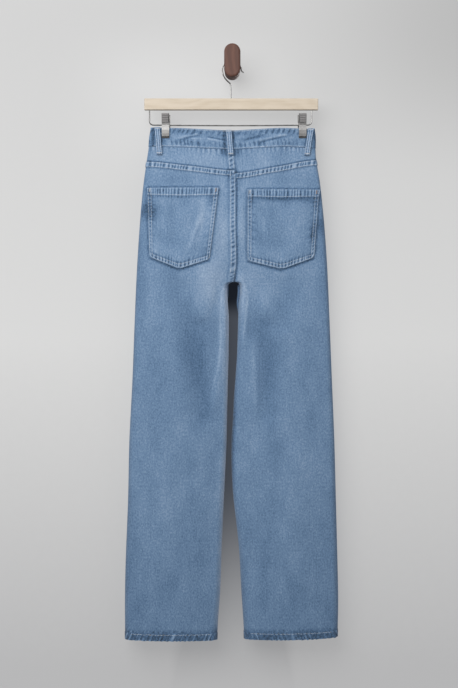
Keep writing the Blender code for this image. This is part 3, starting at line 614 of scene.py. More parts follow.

# %% [markdown]
# ## Fades
#
# The wash bleaches what stands out and leaves indigo where cloth was stitched tight. The fade is a
# number at each point: about 0.5 for the worn-in blue, up for lighter, down for darker. Painted light
# is added to the same number: painted shade in fold hollows, at the side folds, beside the raised
# edges of seams, hems, pockets and belt loops and deep in the crotch, and painted highlights along
# creases and at the slit. It is kept with the mesh as an attribute, and the denim's material turns it
# into colour.

# %% Fade of the panels
FADE_AND_SHADE_SPOTS = named_rows(
    "face x drop half_width half_height fade",
    ("back", -54, 318, 42, 50, 0.05),
    ("back", 66, 338, 38, 52, 0.06),
    ("back", 34, 215, 14, 90, 0.05),
    ("back", -21, 225, 16, 95, 0.12),
    ("back", -80, 66, 70, 20, 0.08),
    ("back", 80, 76, 60, 24, 0.03),
    ("back", -110, 108, 60, 10, -0.05),
    ("back", 110, 108, 60, 12, -0.05),
    # These two rows are painted shadow beside the centre belt loop, just under the waistband.
    ("back", -16, 49, 8, 10, -0.4),
    ("back", 9, 48, 8, 11, -0.36),
    ("back", -6, 100, 7, 14, -0.22),
    ("back", 14, 108, 7, 18, -0.12),
    ("back", -142, 300, 30, 26, -0.07),
    ("back", 24, 410, 14, 60, -0.05),
    ("back", -192, 250, 14, 120, -0.08),
    ("back", -182, 176, 9, 15, -0.42),
    ("back", 186, 205, 7, 20, -0.22),
    ("back", 190, 250, 12, 120, -0.07),
    ("front", -90, 480, 34, 200, 0.16),
    ("front", 92, 480, 34, 200, 0.16),
    ("front", -96, 640, 40, 60, 0.08),
    ("front", 98, 640, 40, 60, 0.08),
)
DARKEST = 0.17
Pocket = namedtuple(
    "Pocket", "top_left top_right low_left low_right top drop_left drop_right point_x point_drop"
)
POCKETS = {
    "left": Pocket(-178.0, -28.2, -173.5, -46.8, 126.4, 271.5, 276.5, -111.0, 296.5),
    "right": Pocket(31.8, 182.5, 31.4, 171.6, 130.2, 279.0, 272.5, 103.0, 297.5),
}


def pocket_length(pocket):
    return 0.5 * (pocket.drop_left + pocket.drop_right) - pocket.top


def pocket_shade(half, x, drop):
    """The painted shadow that a pocket's thick edge casts on the panel round it."""
    pocket = POCKETS[half]
    down = np.clip((drop - pocket.top) / pocket_length(pocket), 0.0, 1.0)
    left = mix(pocket.top_left, pocket.low_left, down)
    right = mix(pocket.top_right, pocket.low_right, down)
    beside = np.maximum(left - x, x - right)
    knots = (pocket.low_left, pocket.point_x, pocket.low_right)
    below = drop - np.interp(x, knots, (pocket.drop_left, pocket.point_drop, pocket.drop_right))
    side = bump(beside, 2.2, 2.6) * smooth(drop, pocket.top - 1.0, pocket.top + 3.0)
    side *= fall(below, -6.0, 2.0)
    under = bump(below, 2.2, 2.6) * fall(beside, -1.0, 4.0)
    over = bump(pocket.top - drop, 1.8, 2.0) * fall(beside, -1.0, 4.0)
    return -0.2 * side - 0.42 * under - 0.3 * over


def fold_wear_and_painted_shade(face, x, drop):
    """Ridges are bleached by wear; hollows get painted shade."""
    broad = fold_height(FOLDS, face, x, drop)
    narrow = fold_height(NARROW_FOLDS, face, x, drop)
    return np.where(broad > 0.0, 0.017, 0.026) * broad + np.where(narrow > 0.0, 0.05, 0.04) * narrow


def crease_wear_and_painted_light(face, x, drop):
    """A thin pale line along a crease, partly bleached wear and partly painted highlight, with a
    painted soft shadow on one side of it.
    """
    fade = np.zeros(np.broadcast(x, drop).shape)
    for line_row in CREASE_LINES:
        if line_row.face != face:
            continue
        places, drops = (np.array(column, float) for column in zip(*line_row.spots))
        off = x - np.interp(drop, drops, places)
        ends = smooth(drop, drops[0], drops[0] + 16.0) * fall(drop, drops[-1] - 30.0, drops[-1])
        shadow = bump(off, 3.0 * line_row.half_width * line_row.shadow_side, 4.0)
        fade += ends * line_row.lift * (bump(off, 0.0, line_row.half_width) - 0.5 * shadow)
    return fade


def slit_painted_light(half, x, drop):
    """At the slit the left leg lies in front, and its edge gets a painted highlight against the shade
    where it turns away; the right leg's edge gets painted shade.
    """
    from_slit = abs(x - inner_x(half, "back", drop))
    legs = smooth(drop, CROTCH_DROP + 1.0, CROTCH_DROP + 16.0)
    legs *= fall(drop, HEM_DROP - 40.0, HEM_DROP - 20.0)
    if half == "left":
        return legs * (0.12 * bump(from_slit, 0.0, 13.0) + 0.2 * bump(from_slit, 0.0, 5.0))
    return -0.36 * bump(from_slit, 0.0, 6.0) * bump(drop, 640.0, 110.0)


def panel_fade_and_shade(half, face, x, drop):
    fade = 0.5 + fold_wear_and_painted_shade(face, x, drop) + crease_wear_and_painted_light(face, x, drop)
    fade = fade - 0.05 * smooth(drop, 340.0, 480.0) - 0.06 * smooth(drop, 700.0, 1040.0)
    for spot in FADE_AND_SHADE_SPOTS:
        if spot.face == face:
            across = spot.fade * bump(x, spot.x, spot.half_width)
            fade += across * bump(drop, spot.drop, spot.half_height)
    fade += 0.035 * hills(x / 21.0 + 30.0, drop / 60.0, 120)
    fade += 0.02 * hills(x / 6.0 + 12.0, drop / 19.0, 121)
    fade += 0.16 * waist_puckers(face, x, drop)
    hem_up = hem_line(half, x) - drop
    hem = fall(hem_up, HEM_HEIGHT - 1.5, HEM_HEIGHT + 2.5)
    rope = ripple(x + HEM_SLANT * SIGN[half] * hem_up, HEM_PITCH, HEM_SEED)
    rope *= 0.75 + 0.6 * hills(x / 14.0 + 70.0, hem_up / 9.0, 57)
    rope += 0.35 * hills(x / 4.5 + 70.0, hem_up / 6.0, 58)
    fade = fade + 0.10 * hem_ropes(half, x, drop) + hem * (0.46 * rope - 0.36)
    # Painted shadow above the turned hem's edge, deeper at the ropes.
    fade -= bump(hem_up, HEM_HEIGHT + 3.0, 4.5) * (0.12 + 0.16 * rope)
    fade = fade + 0.22 * bump(hem_up, HEM_HEIGHT - 1.8, 1.3) + 0.12 * bump(hem_up, 0.0, 1.4)
    # Painted shade along the side folds.
    fade -= 0.06 * bump(abs(side_x(half, drop) - x), 0.0, 9.0)
    if face == "front":
        from_inner = abs(x - inner_x(half, "front", drop))
        # Painted shade on the front's inner edge just below the crotch, seen through the gap between
        # the legs.
        folded = smooth(drop, CROTCH_DROP - 1.0, CROTCH_DROP + 3.0) * fall(drop, 372.0, 420.0)
        return np.maximum(fade, DARKEST) - 0.28 * fall(from_inner, 3.0, 14.0) * folded
    under = drop - yoke_seam(half, x)
    # Painted shadow just above the yoke seam and under the fell's raised edge.
    fade = fade - 0.34 * bump(under, -1.2, 1.7) - 0.16 * bump(under, 12.6, 1.5)
    fade += pocket_shade(half, x, drop)
    fade += sewn_band(under, x + 0.15 * drop, *YOKE_ROWS, YOKE_PITCH, YOKE_SEED)
    fade += slit_painted_light(half, x, drop)
    seam = x - inner_x("left", "back", drop)
    seat = fall(drop, CROTCH_DROP - 8.0, CROTCH_DROP)
    # Painted shadow along both raised edges of the seat fell.
    fell_edge_shadow = np.where(drop > 88.0, 0.42, 0.2)
    fade += 0.75 * seat * sewn_band(-seam, drop + 0.4 * x, *SEAT_ROWS, SEAT_PITCH, SEAT_SEED)
    fade -= seat * (fell_edge_shadow * bump(seam, 2.0, 1.8) + 0.16 * bump(seam, -15.5, 1.6))
    return np.maximum(fade, DARKEST)


print("fades: %d spots on the panels" % len(FADE_AND_SHADE_SPOTS))

# %% [markdown]
# ## From a grid of points to a cloth shell
#
# A panel is a grid: rows run from seam to hem, columns from the inner edge to the side fold. Two
# such layers, one outside and one inside, are closed round the rim into a thin wall. The size of
# each cut is kept on the way and printed after the stitches.

# %% Grids and shells
CREASE_ANGLE = 55.0
Grid = namedtuple("Grid", "points normals x drop")
scene_objects = bpy.context.scene.collection.objects
sheets = {}


def unfold(points, axis):
    """How far each point of a grid lies from the first one, along its row or column."""
    steps = np.linalg.norm(np.diff(points, axis=axis), axis=2)
    run = np.zeros(points.shape[:2])
    if axis == 1:
        run[:, 1:] = np.cumsum(steps, axis=1)
    else:
        run[1:] = np.cumsum(steps, axis=0)
    return run


def grid_area(points):
    """The area of a grid in square metres."""
    across = points[:-1, 1:] - points[:-1, :-1]
    down = points[1:, :-1] - points[:-1, :-1]
    return float(np.linalg.norm(np.cross(across, down), axis=2).sum()) * MM * MM


def grid_normals(points, face, first_ghosts, last_ghosts):
    """Outward normals of a grid; the ghosts stand just past its first and last columns."""
    wide = np.concatenate([first_ghosts[:, None], points, last_ghosts[:, None]], axis=1)
    across = wide[:, 2:] - wide[:, :-2]
    tall = np.concatenate([points[:1], points, points[-1:]], axis=0)
    down = tall[2:] - tall[:-2]
    normals = unit(np.cross(across, down))
    middle = normals[len(points) // 2, points.shape[1] // 2]
    return -normals if middle[1] * OUTWARD[face] < 0.0 else normals


def mirrored_in_depth(points):
    return points * [1.0, -1.0, 1.0] + [0.0, 2.0 * HANG_Y, 0.0]


def attribute(mesh, name, kind, values):
    layer = mesh.attributes.new(name, kind, "POINT")
    layer.data.foreach_set("vector" if kind == "FLOAT_VECTOR" else "value", np.ravel(values))


def add_piece(name, mesh, slot, *nodes):
    """Puts a mesh in the scene as a piece of the object, in place of the solids that it stands for."""
    piece = bpy.data.objects.new(name, mesh)
    scene_objects.link(piece)
    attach(piece, "root")
    if nodes:
        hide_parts(*nodes)
    return piece


def new_mesh(name, points, faces, crease=None):
    """A smooth mesh from points in millimetres, sharp where it turns by more than the crease angle."""
    mesh = bpy.data.meshes.new(name)
    mesh.from_pydata((np.asarray(points, float) * MM).tolist(), [], faces)
    mesh.shade_smooth()
    if crease is not None:
        mesh.set_sharp_from_angle(angle=math.radians(crease))
    return mesh


def weave_spots(grid, anchor):
    """Metres across and along the cloth; across is counted from the anchor's side place, if given."""
    across = unfold(grid.points, 1)
    start = across[:, [across.shape[1] // 2]]
    if anchor is not None:
        side = math.copysign(1.0, anchor)
        start = [[np.interp(abs(anchor), side * x, run)] for x, run in zip(grid.x, across)]
    along = unfold(grid.points, 0).mean(axis=1, keepdims=True) + 0.0 * across
    return np.stack([across - np.array(start), along, 0.0 * across], axis=-1) * MM


def shell(name, grid, outer, inner, fade, anchor=None):
    """A closed cloth wall on a grid, from inner to outer along the grid's normals."""
    rows, columns = grid.points.shape[:2]
    count = rows * columns
    high = grid.points + grid.normals * np.broadcast_to(outer, (rows, columns))[..., None]
    low = grid.points + grid.normals * np.broadcast_to(inner, (rows, columns))[..., None]
    number = np.arange(count).reshape(rows, columns)
    corners = (number[:-1, :-1], number[:-1, 1:], number[1:, 1:], number[1:, :-1])
    front = np.stack(corners, -1).reshape(-1, 4)
    back = front[:, ::-1] + count
    rim = np.concatenate([number[0, ::-1], number[1:, 0], number[-1, 1:], number[-2::-1, -1]])
    walls = np.stack([rim[:-1], rim[1:], rim[1:] + count, rim[:-1] + count], -1)
    faces = np.concatenate([front, back, walls])
    i, j = rows // 2, columns // 2
    turn = np.cross(high[i, j] - high[i, j - 1], high[i, j - 1] - high[i - 1, j - 1])
    if np.dot(turn, grid.normals[i, j]) < 0.0:
        faces = faces[:, ::-1]
    points = np.concatenate([high.reshape(-1, 3), low.reshape(-1, 3)])
    mesh = new_mesh(name, points, faces.tolist(), CREASE_ANGLE)
    weave = weave_spots(grid, anchor)
    fade = np.broadcast_to(fade, (rows, columns))
    attribute(mesh, "fade", "FLOAT", np.stack([fade, fade]))
    attribute(mesh, "weave", "FLOAT_VECTOR", np.stack([weave, weave]))
    attribute(mesh, "inside", "FLOAT", np.repeat([0.0, 1.0], count))
    return mesh


def cut(node, grid, outer, inner, fade, turned=0.0, anchor=None, name=None, slot="denim"):
    """Makes a node's cloth and remembers its cut; turned is the length that its hems take up."""
    name = name or "jeans_" + node
    piece = add_piece(name, shell(name, grid, outer, inner, fade, anchor), slot, node)
    width = unfold(grid.points, 1)[:, -1].max() * MM
    length = unfold(grid.points, 0)[-1].max() * MM + turned * MM
    sheets[name] = (piece, width, length, grid_area(grid.points) + turned * MM * width)
    return piece


print("cloth edges turn sharp past %.0f degrees" % CREASE_ANGLE)

# %% [markdown]
# ## The panels
#
# The columns of a panel stand close where the cloth turns round a fold, and its rows where
# something fine happens: at the felled yoke seam, at the arch between the legs and at the hem. The
# fell and the turned hem are cloth on cloth, so they are raised steps of the outside only.

# %% Rows and columns of a panel
TURNS = 9
PANEL_TOP = 95.0
ARCH_ROWS = 11.5
HEM_ROWS = 24.0


def arc_inset(share):
    return 1.0 - np.cos(0.5 * math.pi * share)


def column_runs(half, face, drop, spans, reach):
    """For each column, how far it lies from the panel's inner edge at its own drop."""
    width = abs(side_x(half, drop) - inner_x(half, face, drop))
    radius = ROUND_SHARE * read(DEPTH, drop, face)
    legs = smooth(drop, CROTCH_DROP - 20.0, CROTCH_DROP + 10.0)
    column = np.arange(2 * TURNS + spans + 1)
    turn = np.minimum(column, TURNS) / TURNS
    body = np.where(turn >= 1.0, FELL_WIDTH + STEP_WIDTH, FELL_WIDTH * turn * TURNS / (TURNS - 1))
    start = mix(body, radius * arc_inset(turn), legs)
    end_turn = np.minimum(2 * TURNS + spans - column, TURNS) / TURNS
    end = width - radius * arc_inset(end_turn)
    run = mix(start, end, np.clip((column - TURNS) / spans, 0.0, 1.0))
    first = mix(FELL_WIDTH + STEP_WIDTH, radius, legs)
    if reach is not None:
        stretched = first + (run - first) * (reach(half, drop) - first) / (width - first)
        run = np.where(column > TURNS, stretched, run)
    return np.where(drop <= CROTCH_DROP, np.maximum(run, 0.5 * SEAM_GAP), run)


def panel_grid(half, face, rows, spans, reach=None):
    """Points and normals of a panel. rows holds, for each row, a function from x to drop."""
    x, drop = [], []
    for row in rows:
        line_x = np.full(2 * TURNS + spans + 1, SIGN[half] * 100.0)
        for _ in range(4):
            line_drop = row(line_x) + 0.0 * line_x
            run = column_runs(half, face, line_drop, spans, reach)
            line_x = inner_x(half, face, line_drop) + SIGN[half] * run
        x.append(line_x)
        drop.append(row(line_x) + 0.0 * line_x)
    x, drop = np.array(x), np.array(drop)
    points = cloth_points(half, face, x, drop)
    across_seam = np.stack([2.0 * x[:, 0], 0 * x[:, 0], 0 * x[:, 0]], -1)
    through_seam = points[:, 1] * [-1.0, 1.0, 1.0] + across_seam
    first = np.where(drop[:, :1] > CROTCH_DROP, mirrored_in_depth(points[:, 1]), through_seam)
    open_edge = np.zeros((len(rows), 1), bool)
    if reach is not None:
        open_edge = drop[:, -1:] < SCOOP_DROP - 0.01
    last = np.where(open_edge, 2.0 * points[:, -1] - points[:, -2], mirrored_in_depth(points[:, -2]))
    normals = grid_normals(points, face, first, last)
    arch = abs(drop[:, 0] - CROTCH_DROP) < 0.01
    normals[arch, 0] = (0.0, 0.0, -1.0)
    return Grid(points, normals, x, drop)


def steps_between(low, high, step):
    """Shares from 0 to 1 with about one step between them."""
    count = max(2, int(round(abs(high - low) / step)))
    return np.linspace(0.0, 1.0, count + 1)[1:]


def lower_rows(half, top, step):
    """Rows from the panel's top edge through the crotch to the hem."""
    arch_end, above_hem = CROTCH_DROP + ARCH_ROWS, HEM_HEIGHT + HEM_ROWS
    to_crotch = steps_between(PANEL_TOP, CROTCH_DROP, step)
    in_arch = (0.4, 1.0, 1.9, 3.2, 4.8, 6.8, 9.2)
    down_leg = steps_between(arch_end, HEM_DROP, 1.15 * step)
    over_hem = np.linspace(above_hem - 1.8, HEM_HEIGHT + STEP_WIDTH, 12)
    on_hem = np.linspace(HEM_HEIGHT, 0.0, 10)
    rows = [lambda x, k=k: mix(top(x), CROTCH_DROP, k) for k in to_crotch]
    rows += [lambda x, k=k: CROTCH_DROP + k + 0.0 * x for k in in_arch]
    rows += [lambda x, k=k: mix(arch_end, hem_line(half, x) - above_hem, k) for k in down_leg]
    rows += [lambda x, k=k: hem_line(half, x) - k for k in (*over_hem, *on_hem)]
    return rows


def hem_share(half, x, drop):
    """1 on the turned hem, 0 above it."""
    return fall(hem_line(half, x) - drop, HEM_HEIGHT + 0.2, HEM_HEIGHT + STEP_WIDTH - 0.2)


def above_crotch(drop):
    """1 on the seat, fading out just above the crotch."""
    return fall(drop, CROTCH_DROP - 60.0, CROTCH_DROP - 6.0)


def seat_fell(half, x, drop):
    """The felled seat seam lies on the left half only."""
    if half == "right":
        return 0.0 * x
    from_seam = abs(x - inner_x(half, "back", drop))
    return FELL * above_crotch(drop) * fall(from_seam, FELL_WIDTH, FELL_WIDTH + STEP_WIDTH)


print("columns: %d round each fold of a panel" % TURNS)

# %% [markdown]
# ## Cutting the seat side
#
# A back panel hangs from the yoke seam to the hem, and the yoke fills the gap up to the waistband.
# Both take their relief and fade from the cells above, and the panel adds the thickness of its
# felled seams and its turned hem.

# %% Back panels and yokes
BACK_SPANS = 90
BACK_STEP = 2.9
ANCHOR_X = {"back": 100.0, "front": 80.0}


def back_outer(half, x, drop):
    """How far the felled seams and the hem raise the outside of a back panel."""
    under = drop - yoke_seam(half, x)
    fell = np.where(under > 0.0, fall(under, YOKE_FELL, YOKE_FELL + STEP_WIDTH), 0.0)
    fells = np.maximum(FELL * fell, seat_fell(half, x, drop))
    return np.maximum(fells, HEM_OUT * hem_share(half, x, drop))


def cut_panel(half, face, grid, raised):
    """A back or front panel on its grid, with its relief, its fade and its turned hem."""
    x, drop = grid.x, grid.drop
    relief = panel_relief(half, face, x, drop)
    low = relief - CLOTH - HEM_IN * hem_share(half, x, drop)
    fade = panel_fade_and_shade(half, face, x, drop)
    anchor = SIGN[half] * ANCHOR_X[face]
    return cut(face + "_" + half, grid, relief + raised, low, fade, 2.0 * HEM_HEIGHT, anchor)


def make_back(half):
    def top(x):
        return yoke_seam(half, x) + 0.5 * SEAM_GAP

    rows = [lambda x, u=u: top(x) + u for u in np.linspace(0.0, YOKE_FELL, 8)]
    rows.append(lambda x: top(x) + YOKE_FELL + STEP_WIDTH)
    rows += [lambda x, u=u: top(x) + u for u in (13.5, 15.5, 17.8)]
    rows += lower_rows(half, lambda x: top(x) + 18.5, BACK_STEP)
    grid = panel_grid(half, "back", rows, BACK_SPANS)
    return cut_panel(half, "back", grid, back_outer(half, grid.x, grid.drop))


def make_yoke(half):
    def edge(x, share):
        return mix(waist_seam("back", x) + HALF_GAP, yoke_seam(half, x) - HALF_GAP, share)

    rows = [lambda x, share=share: edge(x, share) for share in np.linspace(0.0, 1.0, 26)]
    grid = panel_grid(half, "back", rows, BACK_SPANS)
    relief = panel_relief(half, "back", grid.x, grid.drop)
    raised = seat_fell(half, grid.x, grid.drop)
    fade = panel_fade_and_shade(half, "back", grid.x, grid.drop)
    return cut("yoke_" + half, grid, relief + raised, relief - CLOTH, fade)


backs = [make_back(half) for half in SIGN] + [make_yoke(half) for half in SIGN]
print("back panels and yokes: %d faces" % sum(len(piece.data.polygons) for piece in backs))

# %% [markdown]
# ## The front
#
# The front hangs against the wall. It has the pieces that jeans can't do without: two panels with a
# scooped pocket opening, the denim facing behind each scoop, and the fly with its zip. Its folds
# are wider and calmer than the back's.

# %% Front panels, facings and fly
FRONT_SPANS = 54
FRONT_STEP = 4.2
SCOOP_INSET = 72.0
SCOOP_DROP = 122.0
FACING_UNDER = 18.0
FACING_SLACK = 0.6
FRONT_FELL = 0.8
FLY_LENGTH = 150.0
FLY_HALF_WIDTH = 17.0
FLY_CLOTH = 1.0
SHIELD_HALF_WIDTH = 20.0
ZIP_LENGTH = 128.0
ZIP_HALF_WIDTH = 12.0
ZIP_CLOTH = 1.2
FACING_OUT = -CLOTH - SEAM_GAP
ZIP_OUT = FACING_OUT - FLY_CLOTH - SEAM_GAP
SHIELD_OUT = ZIP_OUT - ZIP_CLOTH - SEAM_GAP


def scoop_reach(half, drop):
    """How far from the centre the front panel reaches where the pocket opening cuts it."""
    share = np.clip((drop - BAND_HEIGHT) / (SCOOP_DROP - BAND_HEIGHT), 0.0, 1.0)
    inset = SCOOP_INSET * (1.0 - share**1.8) ** 0.9
    return abs(side_x(half, drop) - inner_x(half, "front", drop)) - inset


def make_front(half):
    def top(x):
        return waist_seam("front", x) + 0.5 * SEAM_GAP

    def scoop_end(x):
        return SCOOP_DROP + 0.01 + 0.0 * x

    rows = [lambda x, k=k: mix(top(x), SCOOP_DROP, k) for k in np.linspace(0.0, 0.985, 26)]
    rows.append(scoop_end)
    rows += lower_rows(half, scoop_end, FRONT_STEP)
    grid = panel_grid(half, "front", rows, FRONT_SPANS, scoop_reach)
    x, drop = grid.x, grid.drop
    raised = HEM_OUT * hem_share(half, x, drop)
    if half == "left":
        seam = fall(abs(x - inner_x(half, "front", drop)), 4.0, 6.0)
        raised = np.maximum(raised, FRONT_FELL * seam * above_crotch(drop))
    return cut_panel(half, "front", grid, raised)


def make_pocket_facing(half):
    """The piece of denim seen inside the front pocket's opening."""
    low = SCOOP_DROP - 6.0
    spans, turns = 40, 10
    x = np.full((34, spans + turns + 1), 0.5 * side_x(half, 60.0))
    share = np.linspace(0.0, 1.0, 34)[:, None]
    j = np.arange(spans + turns + 1)[None, :]
    for _ in range(4):
        drop = mix(waist_seam("front", x) + 0.5 * SEAM_GAP, low, share)
        inner = inner_x(half, "front", drop)
        width = abs(side_x(half, drop) - inner)
        radius = ROUND_SHARE * read(DEPTH, drop, "front")
        start = np.minimum(scoop_reach(half, drop), width - 14.0) - FACING_UNDER
        flat = mix(start, width - radius, np.minimum(j / spans, 1.0))
        run = np.where(j <= spans, flat, width - radius * arc_inset((spans + turns - j) / turns))
        x = inner + SIGN[half] * run
    points = cloth_points(half, "front", x, drop)
    before = 2.0 * points[:, 0] - points[:, 1]
    normals = grid_normals(points, "front", before, mirrored_in_depth(points[:, -2]))
    grid = Grid(points, normals, x, drop)
    outside = -CLOTH - SEAM_GAP - FACING_SLACK
    fade = 0.44 + 0.05 * hills(x / 17.0 + 30.0, drop / 25.0, 130)
    cut("pocket_facing_" + half, grid, outside, outside - CLOTH, fade)


def cloth_side(face, x, drop, out):
    """Points and normals on whichever half x lies, out from the dressed cloth."""
    left = x < inner_x("left", face, drop)
    reach = {half: out + panel_relief(half, face, x, drop) for half in SIGN}
    return choose(left, [lifted(half, face, x, drop, reach[half]) for half in SIGN])


def front_strip(node, left, right, top_under, length, outside, thick, **options):
    """A straight strip of cloth behind the fly."""
    drop = waist_seam("front", FLY_X) + top_under + np.linspace(0.0, length, 50)[:, None]
    x = np.linspace(left, right, 14)[None, :] + 0.0 * drop
    drop = drop + 0.0 * x
    grid = Grid(*cloth_side("front", x, drop, 0.0), x, drop)
    return cut(node, grid, outside, outside - thick, 0.40 + 0.0 * x, **options)


fronts = [make_front(half) for half in SIGN]
for half in SIGN:
    make_pocket_facing(half)
left, right = FLY_X - 2.0 * FLY_HALF_WIDTH, FLY_X - 1.0
front_strip("fly_facing", left, right, 1.0, FLY_LENGTH, FACING_OUT, FLY_CLOTH)
left, right = FLY_X - ZIP_HALF_WIDTH, FLY_X + ZIP_HALF_WIDTH
tape_names = {"name": "zip_tape", "slot": "zip_tape"}
zip_tape = front_strip("zip", left, right, 4.0, ZIP_LENGTH, ZIP_OUT, ZIP_CLOTH, **tape_names)
left, right = FLY_X - SHIELD_HALF_WIDTH, FLY_X + SHIELD_HALF_WIDTH
front_strip("fly_shield", left, right, 1.0, FLY_LENGTH + 4.0, SHIELD_OUT, ZIP_CLOTH)
print("front panels: %d faces" % sum(len(piece.data.polygons) for piece in fronts))

# %% [markdown]
# ## Back pockets
#
# A patch pocket is made from the panel's own surface, moved out by the thickness of the cloth. It
# keeps the panel's folds and adds its own: a turned hem at the top, small puckers along both rows
# of stitching and rays at the point. Its lower corners are rounded, because a sharp corner can't be
# turned.

# %% The form of a back pocket
POCKET_OUT = (0.8, 2.0)
POCKET_HEM_OUT = 0.8
POCKET_HEM = 15.0
POCKET_CORNER = 8.5
POCKET_PITCH = 7.6
POCKET_HEM_PITCH = 6.3
POCKET_ROWS = (1.7, 7.6)
SIDE_SEED = 141
LOW_SEED = 151
TOP_SEED = 161


def pocket_spot(pocket, u, share):
    """x and drop on a pocket: u runs across it from the left, share down it to its pointed bottom."""
    on_left = u < 0.5
    t = np.where(on_left, 2.0 * u, 2.0 * u - 1.0)

    def along_bottom(left, point, right):
        return np.where(on_left, mix(left, point, t), mix(point, right, t))

    low_x = along_bottom(pocket.low_left, pocket.point_x, pocket.low_right)
    low = along_bottom(pocket.drop_left, pocket.point_drop, pocket.drop_right)
    corner = POCKET_CORNER * (1.0 - quarter(np.minimum(u, 1.0 - u) / 0.06))
    low = low - corner - 2.0 * bump(u, 0.5, 0.02)
    top_x = mix(pocket.top_left, pocket.top_right, u)
    return mix(top_x, low_x, share), mix(pocket.top, low, share)


PocketPlace = namedtuple("PocketPlace", "side low down along_side along_low along_top")


def pocket_place(pocket, u, share):
    """A point's distances from a pocket's sides, point and top, and its places along those seams."""
    width, length = pocket.top_right - pocket.top_left, pocket_length(pocket)
    start = 3.0 * pocket.top_left
    side, down = np.minimum(u, 1.0 - u) * width, share * length
    along = (start + down + 0.3 * side, start + u * width * 1.06, start + u * width)
    return PocketPlace(side, (1.0 - share) * length, down, *along)


def pocket_ticks(pocket, u, share):
    """Puckers across the edges, and longer rays at the bottom's point."""
    at = pocket_place(pocket, u, share)
    side = ripple(at.along_side, POCKET_PITCH, SIDE_SEED) * fall(at.side, 3.0, 9.5)
    low = ripple(at.along_low, POCKET_PITCH, LOW_SEED) * fall(at.low, 4.0, 15.0)
    rays = 0.5 * ripple(at.along_top, POCKET_PITCH, LOW_SEED) * fall(at.low, 10.0, 27.0)
    rays *= bump(u, 0.5, 0.3)
    top = ripple(at.along_top, POCKET_HEM_PITCH, TOP_SEED) * fall(abs(at.down - POCKET_HEM), 2.0, 9.0)
    return side * smooth(at.low, 2.0, 10.0) + low + rays + 0.8 * top * smooth(at.side, 2.0, 9.0)


def pocket_relief(pocket, u, share):
    """The pocket's own puckers and waves. They never go below the panel, so nothing crosses it."""
    at = pocket_place(pocket, u, share)
    inside = smooth(at.side, 2.0, 22.0) * smooth(at.low, 2.0, 22.0) * smooth(share, 0.02, 0.12)
    waves = 0.75 + 0.9 * hills(u * 4.2 + 9.0, share * 3.1 + 5.0, 180)
    waves += 0.35 * hills(u * 13.0, share * 9.0, 181)
    return 0.3 - 0.28 * pocket_ticks(pocket, u, share) + np.maximum(waves, 0.0) * inside


def pocket_out(pocket, share):
    """How far the pocket's outside stands off the dressed panel."""
    hem = fall(share * pocket_length(pocket), POCKET_HEM, POCKET_HEM + STEP_WIDTH)
    return POCKET_OUT[1] + POCKET_HEM_OUT * hem


print("pockets: %.1f mm of cloth on the panel" % (POCKET_OUT[1] - POCKET_OUT[0]))

# %% [markdown]
# ## How the pockets are worn
#
# A pocket fades like the panel under it, with a few spots of its own: dark where its upper corners
# are tacked, streaked where something was carried in it, and ticked in light and dark along every
# row of stitches.

# %% The fade of a back pocket
POCKET_FADE_COLUMNS = "u share half_u half_share fade"
POCKET_FADE_AND_SHADE_SPOTS = {
    "left": named_rows(
        POCKET_FADE_COLUMNS,
        (0.36, 0.55, 0.16, 0.6, -0.04),
        (0.03, 0.33, 0.11, 0.11, -0.46),
        (0.90, 0.17, 0.06, 0.09, -0.2),
        (0.94, 0.40, 0.05, 0.18, 0.10),
        (0.90, 0.90, 0.08, 0.10, -0.12),
        (0.80, 0.42, 0.05, 0.28, 0.09),
        (0.86, 0.35, 0.10, 0.5, 0.07),
        (0.03, 0.14, 0.05, 0.10, -0.2),
        (0.5, 0.92, 0.3, 0.12, 0.04),
        (0.15, 0.7, 0.12, 0.25, 0.04),
    ),
    "right": named_rows(
        POCKET_FADE_COLUMNS,
        (0.3, 0.5, 0.3, 0.6, -0.06),
        (0.96, 0.62, 0.06, 0.16, -0.34),
        (0.97, 0.24, 0.05, 0.10, -0.2),
        (0.05, 0.17, 0.05, 0.08, -0.2),
        # This row is painted shadow under the pocket's turned hem.
        (0.5, 0.125, 0.46, 0.035, -0.2),
        (0.86, 0.16, 0.16, 0.06, -0.16),
        (0.7, 0.5, 0.12, 0.4, 0.03),
        (0.5, 0.9, 0.3, 0.14, 0.04),
    ),
}
STREAK_COLUMNS = "u_top share_top u_low share_low half_width fade"
POCKET_STREAKS = {
    "left": named_rows(
        STREAK_COLUMNS, (0.80, 0.34, 0.60, 0.86, 0.035, 0.11), (0.86, 0.30, 0.72, 0.70, 0.02, -0.05)
    ),
    "right": named_rows(STREAK_COLUMNS, (0.20, 0.30, 0.26, 0.80, 0.04, 0.05)),
}


def streak_fade(half, u, share):
    fade = 0.0 * u
    for streak in POCKET_STREAKS[half]:
        along = (share - streak.share_top) / (streak.share_low - streak.share_top)
        ends = smooth(along, -0.1, 0.3) * fall(along, 0.6, 1.1)
        centre = mix(streak.u_top, streak.u_low, along)
        fade += streak.fade * ends * bump(u, centre, streak.half_width)
    return fade


